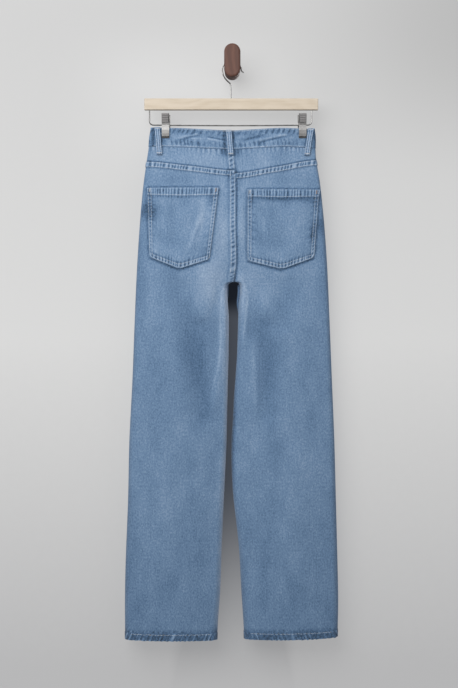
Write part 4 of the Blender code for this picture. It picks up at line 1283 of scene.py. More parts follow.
def pocket_fade_and_shade(half, u, share):
    pocket = POCKETS[half]
    at = pocket_place(pocket, u, share)
    fade = 0.5 + 0.04 * hills(u * 9.0 + 3.0, share * 6.0, 171)
    fade += 0.02 * hills(u * 26.0, share * 11.0, 172)
    for spot in POCKET_FADE_AND_SHADE_SPOTS[half]:
        across = spot.fade * bump(u, spot.u, spot.half_u)
        fade += across * bump(share, spot.share, spot.half_share)
    below_hem = smooth(at.down, POCKET_HEM - 2.0, POCKET_HEM + 3.0)
    side_band = sewn_band(at.side, at.along_side, *POCKET_ROWS, POCKET_PITCH, SIDE_SEED, 0.16)
    uneven = 0.55 + 0.9 * hills(share * 6.0 + 3.0, np.round(u) * 5.0 + 2.0, 175)
    side_band *= np.clip(uneven, 0.1, 1.2)
    low_band = sewn_band(at.low, at.along_low, *POCKET_ROWS, POCKET_PITCH, LOW_SEED, 0.07)
    hem_rows = (1.2, POCKET_HEM - 1.4)
    hem_band = 0.85 * sewn_band(at.down, at.along_top, *hem_rows, POCKET_HEM_PITCH, TOP_SEED, 0.18)
    sides = fall(at.side, 9.0, 12.0) * smooth(at.low, 2.0, 8.0)
    lows = fall(at.low, 9.0, 12.0) * smooth(at.side, 1.0, 4.0)
    fade += below_hem * (0.6 * sides * side_band + 1.2 * lows * low_band)
    fade += (1.0 - below_hem) * hem_band
    fade += streak_fade(half, u, share)
    hem_tick = smooth(ripple(at.along_top, POCKET_HEM_PITCH, TOP_SEED), -0.1, 0.8)
    # Painted shadow under the turned hem, deeper at the puckers' ticks.
    fade -= (0.1 + 0.24 * hem_tick) * bump(at.down, POCKET_HEM + 2.4, 2.2)
    fade -= 0.12 * below_hem * bump(at.side, 10.4, 1.5)
    fade -= 0.14 * below_hem * bump(at.low, 10.4, 1.5)
    rays = smooth(ripple(at.along_low, POCKET_PITCH, LOW_SEED), -0.1, 0.8)
    rays *= 0.35 + 0.65 * bump(u, 0.5, 0.34)
    reach = 17.0 + 6.0 * hills(u * 17.0 + 4.0, 0.0 * share + 3.0, 176)
    fade -= 0.34 * rays * smooth(at.low, 6.0, 10.0) * fall(at.low, 0.6 * reach, reach)
    puckers = ripple(3.0 * pocket.top_left + 0.7 * at.down, 1.2 * POCKET_PITCH, 145)
    puckers *= bump(at.side, 14.0, 5.0)
    puckers += ripple(at.along_top, POCKET_PITCH, LOW_SEED) * bump(at.low, 13.0, 4.5)
    return np.maximum(fade + 0.07 * puckers * below_hem, DARKEST)


def on_pocket(half, u, share, out):
    """Points and normals on a pocket's face."""
    pocket = POCKETS[half]
    points, normals = cloth_side("back", *pocket_spot(pocket, u, share), 0.0)
    reach = pocket_out(pocket, share) + pocket_relief(pocket, u, share) + out
    return points + normals * reach[..., None], normals


def make_back_pocket(half):
    pocket = POCKETS[half]
    length = pocket_length(pocket)
    u = np.linspace(0.0, 1.0, 91)
    u = mix(u, 0.5 - 0.5 * np.cos(math.pi * u), 0.35)
    hem, below = POCKET_HEM / length, (POCKET_HEM + STEP_WIDTH) / length
    share = np.concatenate([np.linspace(0.0, hem, 10), np.linspace(below, 1.0, 78)])
    u, share = np.meshgrid(u, share)
    x, drop = pocket_spot(pocket, u, share)
    grid = Grid(*cloth_side("back", x, drop, 0.0), x, drop)
    relief = pocket_relief(pocket, u, share)
    high, low = pocket_out(pocket, share) + relief, POCKET_OUT[0] + relief
    cut("back_pocket_" + half, grid, high, low, pocket_fade_and_shade(half, u, share), 2.0 * POCKET_HEM)


for half in SIGN:
    make_back_pocket(half)
print("back pockets: %.0f mm long at the point" % (POCKETS["left"].point_drop - POCKETS["left"].top))

# %% [markdown]
# ## Waistband
#
# The waistband is one strip round the waist, ending under the button at the front. It is several
# layers of denim, so its puckers are short dents along both rows of stitching, and a few creases
# run slanting between them where it gives under the clips' pull.

# %% Round the waist
BAND_STEP = 2.3
BAND_ROUND = 3.6
BAND_SEEDS = {"back": 201, "front": 231}
BAND_ROWS = (1.9, 37.6)
BAND_LINES = (  # distance from the top edge, half width, fade
    (0.0, 1.2, 0.06), (20.0, 6.0, 0.05), (36.6, 1.4, 0.10), (39.6, 1.2, -0.14), (30.0, 8.0, 0.06),
)
LOOP_SHADOWS = ((-7.4, 0.44), (-157.2, 0.36), (164.2, 0.36))
BAND_CREASES = named_rows(
    "x_low drop_low x_high drop_high width height",
    (-118, 22, -68, 9, 1.5, 0.9),
    (-112, 25, -66, 13, 1.5, -0.7),
    (-92, 21, -48, 19, 1.4, 0.5),
    (-58, 15, -13, 21, 1.7, -1.0),
    (-52, 19, -13, 25, 1.5, 0.8),
    (-84, 10, -52, 15, 1.4, 0.5),
    (37, 27, 121, 13, 1.9, 0.9),
    (52, 29, 118, 17, 1.8, -0.9),
    (28, 20, 74, 11, 1.5, -0.6),
    (20, 22, 62, 16, 2.6, -0.6),
    (-140, 30, -118, 25, 2.4, 0.6),
    (60, 10, 96, 15, 2.4, 0.6),
)


def band_columns():
    """The waistband's way round the waist, from its covered end to its overlapping end at the front."""
    columns = []

    def run(face, start, stop):
        count = max(1, round(abs(stop - start) / BAND_STEP))
        columns.extend((face, mix(start, stop, k / count)) for k in range(count))

    def fold(half, face_in, face_out):
        side = side_x(half, BAND_MIDDLE)
        for k in range(-TURNS, TURNS):
            face = face_out if k > 0 else face_in
            columns.append((face, side - SIGN[half] * BAND_ROUND * arc_inset(abs(k) / TURNS)))

    reach_right = float(side_x("right", BAND_MIDDLE)) - BAND_ROUND
    reach_left = float(side_x("left", BAND_MIDDLE)) + BAND_ROUND
    run("front", FLY_X - OVERLAP, reach_right)
    fold("right", "front", "back")
    run("back", reach_right, reach_left)
    fold("left", "back", "front")
    run("front", reach_left, FLY_X + 4.0)
    columns.append(("front", FLY_X + 4.0))
    return columns


print("waistband: %d columns round the waist" % len(band_columns()))

# %% [markdown]
# ## How the waistband is worn
#
# Its relief and its fade come from the same dents and creases. The cloth close beside a belt loop
# gets a painted shadow.

# %% Waistband
def band_mask(x):
    """Where the clips' pads press on the waistband it is flat."""
    nearest = np.minimum(abs(x - CLIP_X[0]), abs(x - CLIP_X[1]))
    return smooth(nearest, 9.0, 15.0)


def band_dents(face, x, under):
    """Dents along the two rows of stitching; under is the distance from the top edge."""
    seed = BAND_SEEDS[face]
    upper = ripple(x, 14.0, seed) * bump(under, 6.0, 3.4)
    lower = ripple(x, 11.8, seed + 10) * bump(under, 33.6, 3.6)
    dents = -(upper + lower)
    for half in SIGN:
        dents *= smooth(abs(x - side_x(half, BAND_MIDDLE)), 4, 14)
    return dents


def band_creases(x, under):
    height = 0.0 * x
    for crease in BAND_CREASES:
        run, rise = crease.x_high - crease.x_low, crease.drop_high - crease.drop_low
        length = math.hypot(run, rise)
        along = ((x - crease.x_low) * run + (under - crease.drop_low) * rise) / length
        off = ((x - crease.x_low) * rise - (under - crease.drop_low) * run) / length
        ends = smooth(along, -6.0, 0.25 * length) * fall(along, 0.75 * length, length + 6.0)
        height += crease.height * ends * bump(off, 0.0, crease.width)
    return height


def band_relief(face, x, under):
    relief = 0.8 * band_dents(face, x, under) + 0.18 * hills(x / 9.0 + 50.0, under / 9.0, 241)
    if face == "back":
        relief += band_creases(x, under)
    return relief * band_mask(x)


def band_fade_and_shade(face, x, under):
    seed = BAND_SEEDS[face]
    fade = 0.45 + 0.09 * hills(x / 15.0 + 30.0, under / 6.5, 251)
    fade += 0.04 * hills(x / 5.0 + 30.0, under / 4.0, 252)
    uneven = 0.8 + 0.55 * hills(x / 26.0 + 20.0, under / 30.0, 255)
    upper = smooth(ripple(x + 0.5 * under, 12.5, seed), -0.3, 0.8) * bump(under, 6.5, 5.2)
    lower = smooth(ripple(x - 0.2 * under, 9.6, seed + 10), -0.2, 0.8) * bump(under, 30.5, 6.2)
    fade -= uneven * (0.42 * upper + 0.40 * lower)
    for centre, half_width, lift in BAND_LINES:
        fade += lift * bump(under, centre, half_width)
    if face == "back":
        creases = band_creases(x, under)
        fade += np.where(creases > 0.0, 0.16, 0.42) * creases
        # Painted shadow on each side of a belt loop.
        for centre, dark in LOOP_SHADOWS:
            fade -= dark * (bump(x, centre - 8.8, 3.6) + bump(x, centre + 8.8, 3.4))
    return np.maximum(fade, DARKEST)


def on_band(face, x, under, out):
    """Points and normals on the waistband's outside."""
    drop = waist_top(face, x) + under
    reach = BAND_OUT + band_relief(face, x, under) + out
    return choose(x < FLY_X, [lifted(half, face, x, drop, reach) for half in SIGN])


def band_face(face, x, share):
    """Points, fade and relief of the whole waistband as if all of it lay on one face."""
    left = x < FLY_X
    side = np.where(left, side_x("left", BAND_MIDDLE), side_x("right", BAND_MIDDLE))
    top = waist_top(face, x)
    drop = mix(top, waist_seam(face, x) - HALF_GAP, share)
    sides = [cloth_points(half, face, x * side_x(half, drop) / side, drop) for half in SIGN]
    points = np.where(left[None, :, None], *sides)
    points[:, abs(x - side) < 0.01, 1] = HANG_Y
    under = drop - top
    wide = x + 0.0 * under
    return points, band_fade_and_shade(face, wide, under), band_relief(face, wide, under)


def make_waistband():
    columns = band_columns()
    on_front = np.array([face == "front" for face, _ in columns])
    x = np.array([place for _, place in columns], float)
    share = np.linspace(0.0, 1.0, 23)[:, None]
    back, front = band_face("back", x, share), band_face("front", x, share)
    points = np.where(on_front[None, :, None], front[0], back[0])
    fade, relief = (np.where(on_front[None, :], front[k], back[k]) for k in (1, 2))
    ends = 2.0 * points[:, 0] - points[:, 1], 2.0 * points[:, -1] - points[:, -2]
    normals = grid_normals(points, "back", *ends)
    covered = on_front & (np.arange(len(columns)) < len(columns) // 3)
    under_end = BAND_OUT + BAND_IN + SEAM_GAP
    sunk = np.where(covered, under_end * fall(x, FLY_X + 7.0, FLY_X + 28.0), 0.0)
    relief = np.where(sunk > 0.0, 0.0, relief) - sunk
    grid = Grid(points, normals, x + 0.0 * share, 0.0 * relief)
    return cut("waistband", grid, BAND_OUT + relief, relief - BAND_IN, fade)


waistband = make_waistband()
print("waistband: %d faces" % len(waistband.data.polygons))

# %% [markdown]
# ## Belt loops
#
# A belt loop is a strip folded so that its raw edges are inside, which gives it two stitched
# valleys and a soft middle. It stands clear of the waistband between its two tacked ends, as it has
# to for a belt.

# %% Belt loops
LOOP_HALF_WIDTH = 5.8
LOOP_THICK = 2.0
LOOP_BOW = 1.5
LOOP_TURNED = 20.0
LOOP_ROWS = (-0.62, 0.62)
LOOPS = named_rows(
    "name face x_top x_low drop_top drop_low",
    ("belt_loop_back", "back", -7.4, -3.2, 5.5, 57.5),
    ("belt_loop_side_left", "back", -157.6, -152.9, -1.2, 56.0),
    ("belt_loop_side_right", "back", 165.0, 156.4, 1.5, 57.5),
    ("belt_loop_front_left", "front", -92.0, -94.0, 4.5, 61.0),
    ("belt_loop_front_right", "front", 96.0, 98.0, 4.5, 61.0),
)


def loop_cloth(loop, across, share):
    """The cloth under a loop; across runs from -1 to 1 and share from its top to its foot."""
    x = mix(loop.x_top, loop.x_low, share)
    drop = mix(loop.drop_top, loop.drop_low, share)
    if loop.face == "front":
        drop = drop + waist_top("front", x) - waist_top("back", x)
    x = x + across * LOOP_HALF_WIDTH
    half = "left" if loop.x_top < 0.0 else "right"
    normals = cloth_normals(half, loop.face, x, drop, 2.0)
    return Grid(cloth_points(half, loop.face, x, drop), normals, x, drop)


def loop_low(share):
    return BAND_OUT + SEAM_GAP + 0.2 + FELL * 0.6 + LOOP_BOW * np.sin(math.pi * share)


def loop_high(across, share):
    """The outside of a loop: turned ends, two stitched valleys and a soft middle."""
    ends = fall(np.minimum(share, 1.0 - share), 0.10, 0.14)
    valleys = 0.35 * (bump(across, LOOP_ROWS[0], 0.16) + bump(across, LOOP_ROWS[1], 0.16))
    edges = 0.55 * smooth(abs(across), 0.86, 1.0)
    return loop_low(share) + LOOP_THICK + 0.9 * ends - valleys - edges


def on_loop(loop, across, share, out):
    grid = loop_cloth(loop, across, share)
    reach = loop_high(across, share) + out
    return grid.points + grid.normals * reach[..., None], grid.normals


def make_loop(loop):
    across, share = np.meshgrid(np.linspace(-1.0, 1.0, 17), np.linspace(0.0, 1.0, 54))
    off = abs(across)
    wobble = ripple(share * 55.0, 7.5, 261)
    valleys = bump(across, -0.42, 0.15) + bump(across, 0.42, 0.15)
    fade = 0.62 + 0.14 * bump(across, 0.0, 0.24) - 0.42 * valleys
    fade = fade + 0.03 * wobble + 0.10 * bump(off, 0.78, 0.12) - 0.3 * smooth(off, 0.92, 1.0)
    high = loop_high(across, share) + 0.06 * wobble * bump(off, 0.9, 0.3)
    cut(loop.name, loop_cloth(loop, across, share), high, loop_low(share), fade, LOOP_TURNED)


for loop in LOOPS:
    make_loop(loop)
print("belt loops: %d" % len(LOOPS))

# %% [markdown]
# ## Stitches
#
# A stitch is a short thread that rises out of the cloth, runs a few millimetres and dives again, so
# it is a small lens of thread laid on the surface. A row is a line on the surface cut into stitches
# of one length, and all the stitches of a region are joined into one piece.

# %% Rows of stitches
Stitch = namedtuple("Stitch", "pitch length half_width height")
TOPSTITCH = Stitch(3.3, 2.6, 0.45, 0.34)
STITCH_RINGS = ((-0.5, 0.0), (-0.3, 0.85), (0.0, 1.0), (0.3, 0.85), (0.5, 0.0))
STITCH_SIDES = 6
THREAD_LIFT = 0.06
threads = {}


def sew(name, path, stitch=TOPSTITCH):
    """Cuts a line on the surface into stitches and keeps them for the piece of that name."""
    points, normals = path
    pitch, length, half_width, height = stitch
    run = np.concatenate([[0.0], np.cumsum(np.linalg.norm(np.diff(points, axis=0), axis=1))])
    count = max(1, int(run[-1] / pitch))
    middles = (np.arange(count) + 0.5) * run[-1] / count

    def at(where, values):
        return np.stack([np.interp(where, run, values[:, k]) for k in range(3)], -1)

    centre, normal = at(middles, points), unit(at(middles, normals))
    along = unit(at(middles + 0.3 * pitch, points) - at(middles - 0.3 * pitch, points))
    side = unit(np.cross(normal, along))
    turn = math.tau * np.arange(STITCH_SIDES) / STITCH_SIDES
    verts = []
    for where, size in STITCH_RINGS[1:-1]:
        for angle in turn:
            wide = side * half_width * size * math.cos(angle)
            tall = normal * height * size * math.sin(angle)
            verts.append(centre + along * where * length + wide + tall)
    for where, _ in (STITCH_RINGS[0], STITCH_RINGS[-1]):
        verts.append(centre + along * where * length - normal * 0.4 * height)
    threads.setdefault(name, []).append(np.stack(verts, 1))


def thread_faces():
    """The faces of one stitch, by the numbers of its points."""
    sides, rings = STITCH_SIDES, len(STITCH_RINGS) - 2
    first, last = sides * rings, sides * rings + 1
    faces = []
    for k in range(sides):
        m = (k + 1) % sides
        faces.append((first, m, k))
        for ring in range(rings - 1):
            a, b = ring * sides, (ring + 1) * sides
            faces.append((a + k, a + m, b + m))
            faces.append((a + k, b + m, b + k))
        faces.append((last, (rings - 1) * sides + k, (rings - 1) * sides + m))
    return np.array(faces)


def make_threads(name):
    """Joins the stitches kept under a name into one piece."""
    stitches = np.concatenate(threads[name])
    count, size = stitches.shape[:2]
    faces = (thread_faces()[None] + (np.arange(count) * size)[:, None, None]).reshape(-1, 3)
    mesh = new_mesh(name, stitches.reshape(-1, 3), faces.tolist())
    shades = np.random.default_rng(len(name)).uniform(0.0, 1.0, count)
    attribute(mesh, "shade", "FLOAT", np.repeat(shades, size))
    return add_piece(name, mesh, "denim")


print("a stitch: %.1f mm of thread, %d faces" % (TOPSTITCH.length, len(thread_faces())))

# %% [markdown]
# ## Where the rows run
#
# The yoke, the seat seam and the pockets have two rows each, the waistband one along each edge, the
# hems one. The rows lie on raised cloth, so each is drawn at the height of what it is sewn through.

# %% Draw the stitches
def line(start, stop, step=1.2):
    return np.linspace(start, stop, max(8, int(abs(stop - start) / step)))


def panel_row(half, face, x, drop, raised=0.0):
    """A row on a panel, on top of what is raised there."""
    reach = panel_relief(half, face, x, drop) + raised + THREAD_LIFT
    return lifted(half, face, x, drop, reach)


def back_row(half, x, drop):
    return panel_row(half, "back", x, drop, back_outer(half, x, drop))


for half in SIGN:
    side = SIGN[half]
    seam_x = line(side * 181.5, 10.0 + side * 9.0 if half == "left" else 9.0)
    for under in YOKE_ROWS:
        sew("stitches_yoke", back_row(half, seam_x, yoke_seam(half, seam_x) + under))

for from_seam in SEAT_ROWS:
    drop = line(93.0, CROTCH_DROP - 16.0)
    sew("stitches_seat", back_row("left", inner_x("left", "back", drop) - from_seam, drop))
    drop = line(49.0, 86.5)
    x = inner_x("left", "back", drop) - from_seam
    sew("stitches_seat", cloth_side("back", x, drop, FELL + THREAD_LIFT))

for half in SIGN:
    pocket = POCKETS[half]
    width, length = pocket.top_right - pocket.top_left, pocket_length(pocket)
    for inset in POCKET_ROWS:
        u_in, low = inset / width, 1.0 - inset / length
        low_u = line(u_in, 1.0 - u_in, 0.004)
        down = line(0.004, low, 0.008)
        for u in (u_in, 1.0 - u_in):
            sew("stitches_pockets", on_pocket(half, 0.0 * down + u, down, THREAD_LIFT))
        sew("stitches_pockets", on_pocket(half, low_u, 0.0 * low_u + low, THREAD_LIFT))
    u = line(0.012, 0.988, 0.006)
    sew("stitches_pockets", on_pocket(half, u, 0.0 * u + (POCKET_HEM - 1.2) / length, THREAD_LIFT))

for face in ("back", "front"):
    for under in BAND_ROWS:
        reach = side_x("left", BAND_MIDDLE) + 9.0, side_x("right", BAND_MIDDLE) - 9.0
        spans = [reach] if face == "back" else [(reach[0], FLY_X + 2.5), (FLY_X + 6.5, reach[1])]
        for start, stop in spans:
            x = line(start, stop)
            sew("stitches_waistband", on_band(face, x, 0.0 * x + under, THREAD_LIFT))

for half in SIGN:
    for face in ("back", "front"):
        inner = read(LEG_GAP, HEM_DROP, half)
        x = line(inner + SIGN[half] * 14.0, side_x(half, HEM_DROP) - SIGN[half] * 14.0)
        drop = hem_line(half, x) - HEM_HEIGHT + 1.8
        sew("stitches_hems", panel_row(half, face, x, drop, HEM_OUT))

for loop in LOOPS:
    share = line(0.13, 0.87, 0.02)
    for across in LOOP_ROWS:
        sew("stitches_loops", on_loop(loop, 0.0 * share + across, share, THREAD_LIFT))

FLY_STITCH = 31.0
FLY_STRAIGHT = 158.0
FLY_CURVE = 42.0
for inset in (0.0, 6.5):
    turn = np.linspace(0.0, 0.5 * math.pi, 40)[:-5]
    straight = line(54.0, FLY_STRAIGHT)
    curve_x = FLY_X - (FLY_STITCH - inset) * np.cos(turn)
    curve_drop = FLY_STRAIGHT + (FLY_CURVE - inset) * np.sin(turn)
    x = np.concatenate([0.0 * straight + FLY_X - FLY_STITCH + inset, curve_x])
    sew("stitches_fly", panel_row("left", "front", x, np.concatenate([straight, curve_drop])))
for from_seam, raised in ((1.8, FRONT_FELL), (7.6, 0.0)):
    drop = line(204.0, CROTCH_DROP - 18.0)
    x = inner_x("left", "front", drop) - from_seam
    sew("stitches_fly", panel_row("left", "front", x, drop, raised))
for half in SIGN:
    for inset in (2.2, 8.4):
        drop = line(56.0, SCOOP_DROP - 9.0)
        x = inner_x(half, "front", drop) + SIGN[half] * (scoop_reach(half, drop) - inset)
        sew("stitches_scoops", panel_row(half, "front", x, drop))
print("stitches: %d" % sum(len(part) for parts in threads.values() for part in parts))

# %% [markdown]
# ## Bar tacks
#
# A bar tack is a zigzag so dense that it reads as a small solid bar. The ones at the right-hand
# pocket corners are sewn in brown thread, the rest in the light thread of the seams.

# %% Bar tacks
TACK_HEIGHT = 2.4
TACK_STEP = 0.75
TACK_LIFT = 0.1
TACK_STITCH = Stitch(TACK_HEIGHT, TACK_HEIGHT, 0.42, 0.42)
LOOP_TACKS = 2.0 * LOOP_HALF_WIDTH - 1.0


def tack(name, width, located, beside):
    """A dense short bar of zigzag thread at a place, running towards a second place beside it."""
    place, normal = located[0][0], located[1][0]
    across = unit(beside[0][0] - place)
    up = 0.5 * np.cross(normal, across)
    count = max(4, int(width / TACK_STEP))
    for k in range(count):
        middle = place + across * width * ((k + 0.5) / count - 0.5)
        ends = np.stack([middle - up * TACK_HEIGHT, middle + up * TACK_HEIGHT])
        sew(name, (ends, np.stack([normal, normal])), TACK_STITCH)


for loop in LOOPS:
    for share in (0.045, 0.955):
        here = np.array([share])
        places = [on_loop(loop, 0.0 * here + across, here, TACK_LIFT) for across in (0.0, 0.3)]
        tack("tacks_loops", LOOP_TACKS, *places)

for half in SIGN:
    for name, u in (("tacks_right_corners", 0.965), ("tacks_left_corners", 0.035)):
        u = np.array([u])
        tack(name, 8.0, *(on_pocket(half, u, 0.0 * u + share, TACK_LIFT) for share in (0.035, 0.065)))

for half in SIGN:
    for drop in (57.0, SCOOP_DROP - 7.0):
        drop = np.array([drop])
        x = inner_x(half, "front", drop) + SIGN[half] * (scoop_reach(half, drop) - 5.0)
        tack("tacks_front", 7.0, *(panel_row(half, "front", x + along, drop) for along in (0.0, 2.0)))
fly_end = np.array([198.0])
places = [panel_row("left", "front", 0.0 * fly_end + x, fly_end) for x in (-8.0, -6.0)]
tack("tacks_front", 8.0, *places)

stitch_pieces = {}
for name in sorted(threads):
    stitch_pieces[name] = make_threads(name)
print("thread pieces: %s" % ", ".join(sorted(stitch_pieces)))

# They are measured on the unfolded grids, with the turned hems added.

for name, (piece, width, length, area) in sheets.items():
    area = min(area, width * length)
    print("%-28s %4.0f x %4.0f mm, %.3f square metres" % (name, width / MM, length / MM, area))

# %% [markdown]
# ## Forms for small metal
#
# The zip, the button and the clips' springs are small, so they are drawn from their sizes rather
# than sculpted. Each is joined from boxes, turned solids or rings of points.

# %% Boxes, turned solids and rings
def joined(name, parts, slot, *nodes, crease=35.0):
    """One piece from several (points, faces) parts, in millimetres."""
    points, faces, start = [], [], 0
    for part_points, part_faces in parts:
        points.extend(part_points)
        faces.extend([[start + k for k in face] for face in part_faces])
        start += len(part_points)
    return add_piece(name, new_mesh(name, points, faces, crease), slot, *nodes)


def box_part(centre, size, axes):
    """A small box; size is along the three axes."""
    corners = [(a, b, c) for c in (-0.5, 0.5) for b in (-0.5, 0.5) for a in (-0.5, 0.5)]
    points = [centre + (np.array(corner) * size) @ axes for corner in corners]
    faces = [(0, 2, 3, 1), (4, 5, 7, 6), (0, 1, 5, 4), (2, 6, 7, 3), (0, 4, 6, 2), (1, 3, 7, 5)]
    return points, faces


def ring_faces(rings, sides):
    """The faces of a closed solid whose points stand in rings, with a cap at each end."""
    faces = []
    for first in range(0, (rings - 1) * sides, sides):
        for k in range(sides):
            m = (k + 1) % sides
            faces.append((first + k, first + m, first + sides + m, first + sides + k))
    last = (rings - 1) * sides
    return faces + [tuple(range(sides - 1, -1, -1)), tuple(range(last, last + sides))]


def turned_part(profile, centre, sides=48):
    """A solid turned about a line towards the wall, from (radius, height) rows."""
    turn = math.tau * np.arange(sides) / sides
    ring = np.stack([np.cos(turn), 0.0 * turn, -np.sin(turn)], -1)
    points = [centre + [0.0, height, 0.0] + radius * ring for radius, height in profile]
    return np.concatenate(points), ring_faces(len(profile), sides)


print("a turned ring has %d faces" % len(ring_faces(2, 48)))

# %% [markdown]
# ## Zip
#
# The teeth run down the tape in two rows that mesh, each on its own half of the tape. The slider is
# parked at the top, under the button.

# %% Zip teeth and slider
ZIP_TOOTH_PITCH = 1.5
ZIP_TOOTH = (3.2, 0.62, 0.34)
TOOTH_LEAN = 0.9
TOOTH_SUNK = 0.02
tooth_drop = waist_seam("front", FLY_X) + 4.0 + np.arange(4.0, ZIP_LENGTH - 6.0, 0.5 * ZIP_TOOTH_PITCH)
tooth_x = np.full_like(tooth_drop, FLY_X)
tooth_place, tooth_normal = cloth_side("front", tooth_x, tooth_drop, ZIP_OUT - ZIP_CLOTH - TOOTH_SUNK)


def zip_axes(normal):
    """Across the zip, along it and out of it."""
    return np.array([[1.0, 0.0, 0.0], np.cross([1.0, 0.0, 0.0], normal), normal])


teeth = []
for k, (place, normal) in enumerate(zip(tooth_place, tooth_normal)):
    lean = TOOTH_LEAN if k % 2 else -TOOTH_LEAN
    axes = zip_axes(normal)
    teeth.append(box_part(place + axes[0] * lean - normal * TOOTH_SUNK, ZIP_TOOTH, axes))
joined("zip_teeth", teeth, "button_metal")
place, normal, axes = tooth_place[4], tooth_normal[4], zip_axes(tooth_normal[4])
slider = [
    box_part(place - normal * 0.12, (6.5, 8.0, 0.3), axes),
    box_part(place - normal * 0.2 + axes[1] * 1.0, (1.6, 5.0, 0.3), axes),
]
joined("zip_slider", slider, "button_metal")
print("zip: %d teeth" % len(teeth))

# %% [markdown]
# ## Button and springs
#
# The button is a pressed shell with a rolled rim on a ring of knurling. The clips' springs are
# round wire wound on the hanger's wire.

# %% Button and springs
BUTTON_RADIUS = 8.5
BUTTON_PROFILE = (
    (0.60, 0.0), (0.93, 0.5), (0.99, 1.0), (1.0, 1.5), (0.98, 2.0), (0.92, 2.45), (0.84, 2.6),
    (0.76, 2.45), (0.71, 2.1), (0.66, 1.9), (0.60, 1.95), (0.52, 2.1), (0.40, 2.25), (0.24, 2.35),
    (0.08, 2.38), (0.01, 2.38),
)
BEADS = 28
BEAD_RING = 0.68 * BUTTON_RADIUS
BEAD_HEIGHT = 1.95
BEAD_PROFILE = ((0.4, -0.2), (0.45, 0.1), (0.3, 0.32), (0.02, 0.4))
button_x = np.array([FLY_X - 9.0])
button_drop = waist_top("front", button_x) + 0.5 * BAND_HEIGHT
button_base = cloth_points("left", "front", button_x, button_drop)[0]
button_base = button_base + [0.0, BAND_OUT + SEAM_GAP + 0.4, 0.0]
button_parts = [turned_part([(r * BUTTON_RADIUS, height) for r, height in BUTTON_PROFILE], button_base)]
for angle in math.tau * np.arange(BEADS) / BEADS:
    bead = button_base + [BEAD_RING * math.cos(angle), BEAD_HEIGHT, BEAD_RING * math.sin(angle)]
    button_parts.append(turned_part(BEAD_PROFILE, bead, 10))
joined("button_shell", button_parts, "button_metal", "button")

WIRE_RADIUS = 1.4
WIRE_Z = -118.0
SPRING_TURNS = 6
SPRING_HALF = 5.0
SPRING_WIRE = 0.62
SPRING_SAG = 0.55
SPRING_SIDES = 8
for side, clip_x in zip(SIGN, CLIP_X):
    turn = np.linspace(0.0, math.tau * SPRING_TURNS, 24 * SPRING_TURNS)
    x = clip_x + np.linspace(-SPRING_HALF, SPRING_HALF, len(turn))
    ring = WIRE_RADIUS + SPRING_SAG + SPRING_WIRE
    axis = np.stack([x, np.full_like(turn, HANG_Y), np.full_like(turn, WIRE_Z - SPRING_SAG)], -1)
    path = np.stack([x, HANG_Y + ring * np.cos(turn), WIRE_Z - SPRING_SAG + ring * np.sin(turn)], -1)
    outward = unit(path - axis)[:, None]
    third = np.cross(unit(np.gradient(path, axis=0)), outward[:, 0])[:, None]
    circle = (math.tau * np.arange(SPRING_SIDES) / SPRING_SIDES)[None, :, None]
    rings = path[:, None] + SPRING_WIRE * (outward * np.cos(circle) + third * np.sin(circle))
    coil = (rings.reshape(-1, 3), ring_faces(len(path), SPRING_SIDES))
    joined("clip_%s_coil" % side, [coil], "steel", "clip_%s_spring" % side, crease=60.0)
print("springs: %d turns a clip" % SPRING_TURNS)

# %% [markdown]
# ## Clip grips
#
# The finger end of each clip has a dark ribbed grip on it, so that it doesn't slip between finger
# and thumb. It covers the pressed plate but for a thin bright strip at one side. The plate's own
# slope gives its place and tilt.

# %% Clip grips
CLIP_FINGER = ((13.0, -95.2), (11.4, -101.0), (8.6, -108.0), (5.9, -113.6))  # out and z
GRIP_WIDTH = 13.4
GRIP_RIBS = 4
GRIP_RIM = ((0.0, 0.0), (0.0, 0.55), (0.35, 0.9), (1.0, 1.0))
GRIP_SHIFT = {"left": -0.7, "right": 0.7}
FRONT_SHIFT = {"left": 1.6, "right": -1.6}


def grip_part(clip_x, face):
    """A ribbed plate on the outside of a clip's finger end."""
    shape = np.array(CLIP_FINGER)
    run = np.concatenate([[0.0], np.cumsum(np.hypot(*np.diff(shape, axis=0).T))])
    where = np.linspace(0.4, run[-1] - 0.2, 60)
    out, z = np.interp(where, run, shape[:, 0]), np.interp(where, run, shape[:, 1])
    slope = unit(np.stack([np.gradient(out), np.gradient(z)], -1))
    normal = np.stack([-slope[:, 1], slope[:, 0]], -1)
    turn = math.tau * GRIP_RIBS * (where - where[0]) / (where[-1] - where[0])
    ribs = 0.5 + 0.5 * np.cos(turn + math.pi)
    ends = quarter(np.minimum(where - where[0], where[-1] - where) / 0.8)
    height = 0.15 + (0.55 + 0.75 * ribs**0.7) * ends
    rim = [(-0.5 * GRIP_WIDTH + inset, lift) for inset, lift in GRIP_RIM]
    rim += [(-x, lift) for x, lift in reversed(rim)]
    points = []
    for k in range(len(where)):
        for x, lift in rim:
            reach = 0.05 + height[k] * lift
            y = out[k] + normal[k, 0] * reach
            points.append((clip_x + x, HANG_Y + OUTWARD[face] * y, z[k] + normal[k, 1] * reach))
    faces = ring_faces(len(where), len(rim))
    return points, [corners[::-1] for corners in faces] if face == "front" else faces


for side, clip_x in zip(SIGN, CLIP_X):
    for face in OUTWARD:
        shift = FRONT_SHIFT[side] if face == "front" else 0.0
        grip = grip_part(clip_x + shift + GRIP_SHIFT[side], face)
        joined("clip_%s_%s_grip" % (side, face), [grip], "rubber")
print("clip grips: %d ribs each" % GRIP_RIBS)

# %% [markdown]
# ## Shader helpers
#
# The materials are built from a handful of nodes each, so a few short helpers keep them readable:
# one makes a node and sets its sockets, the others stand for the usual sums.

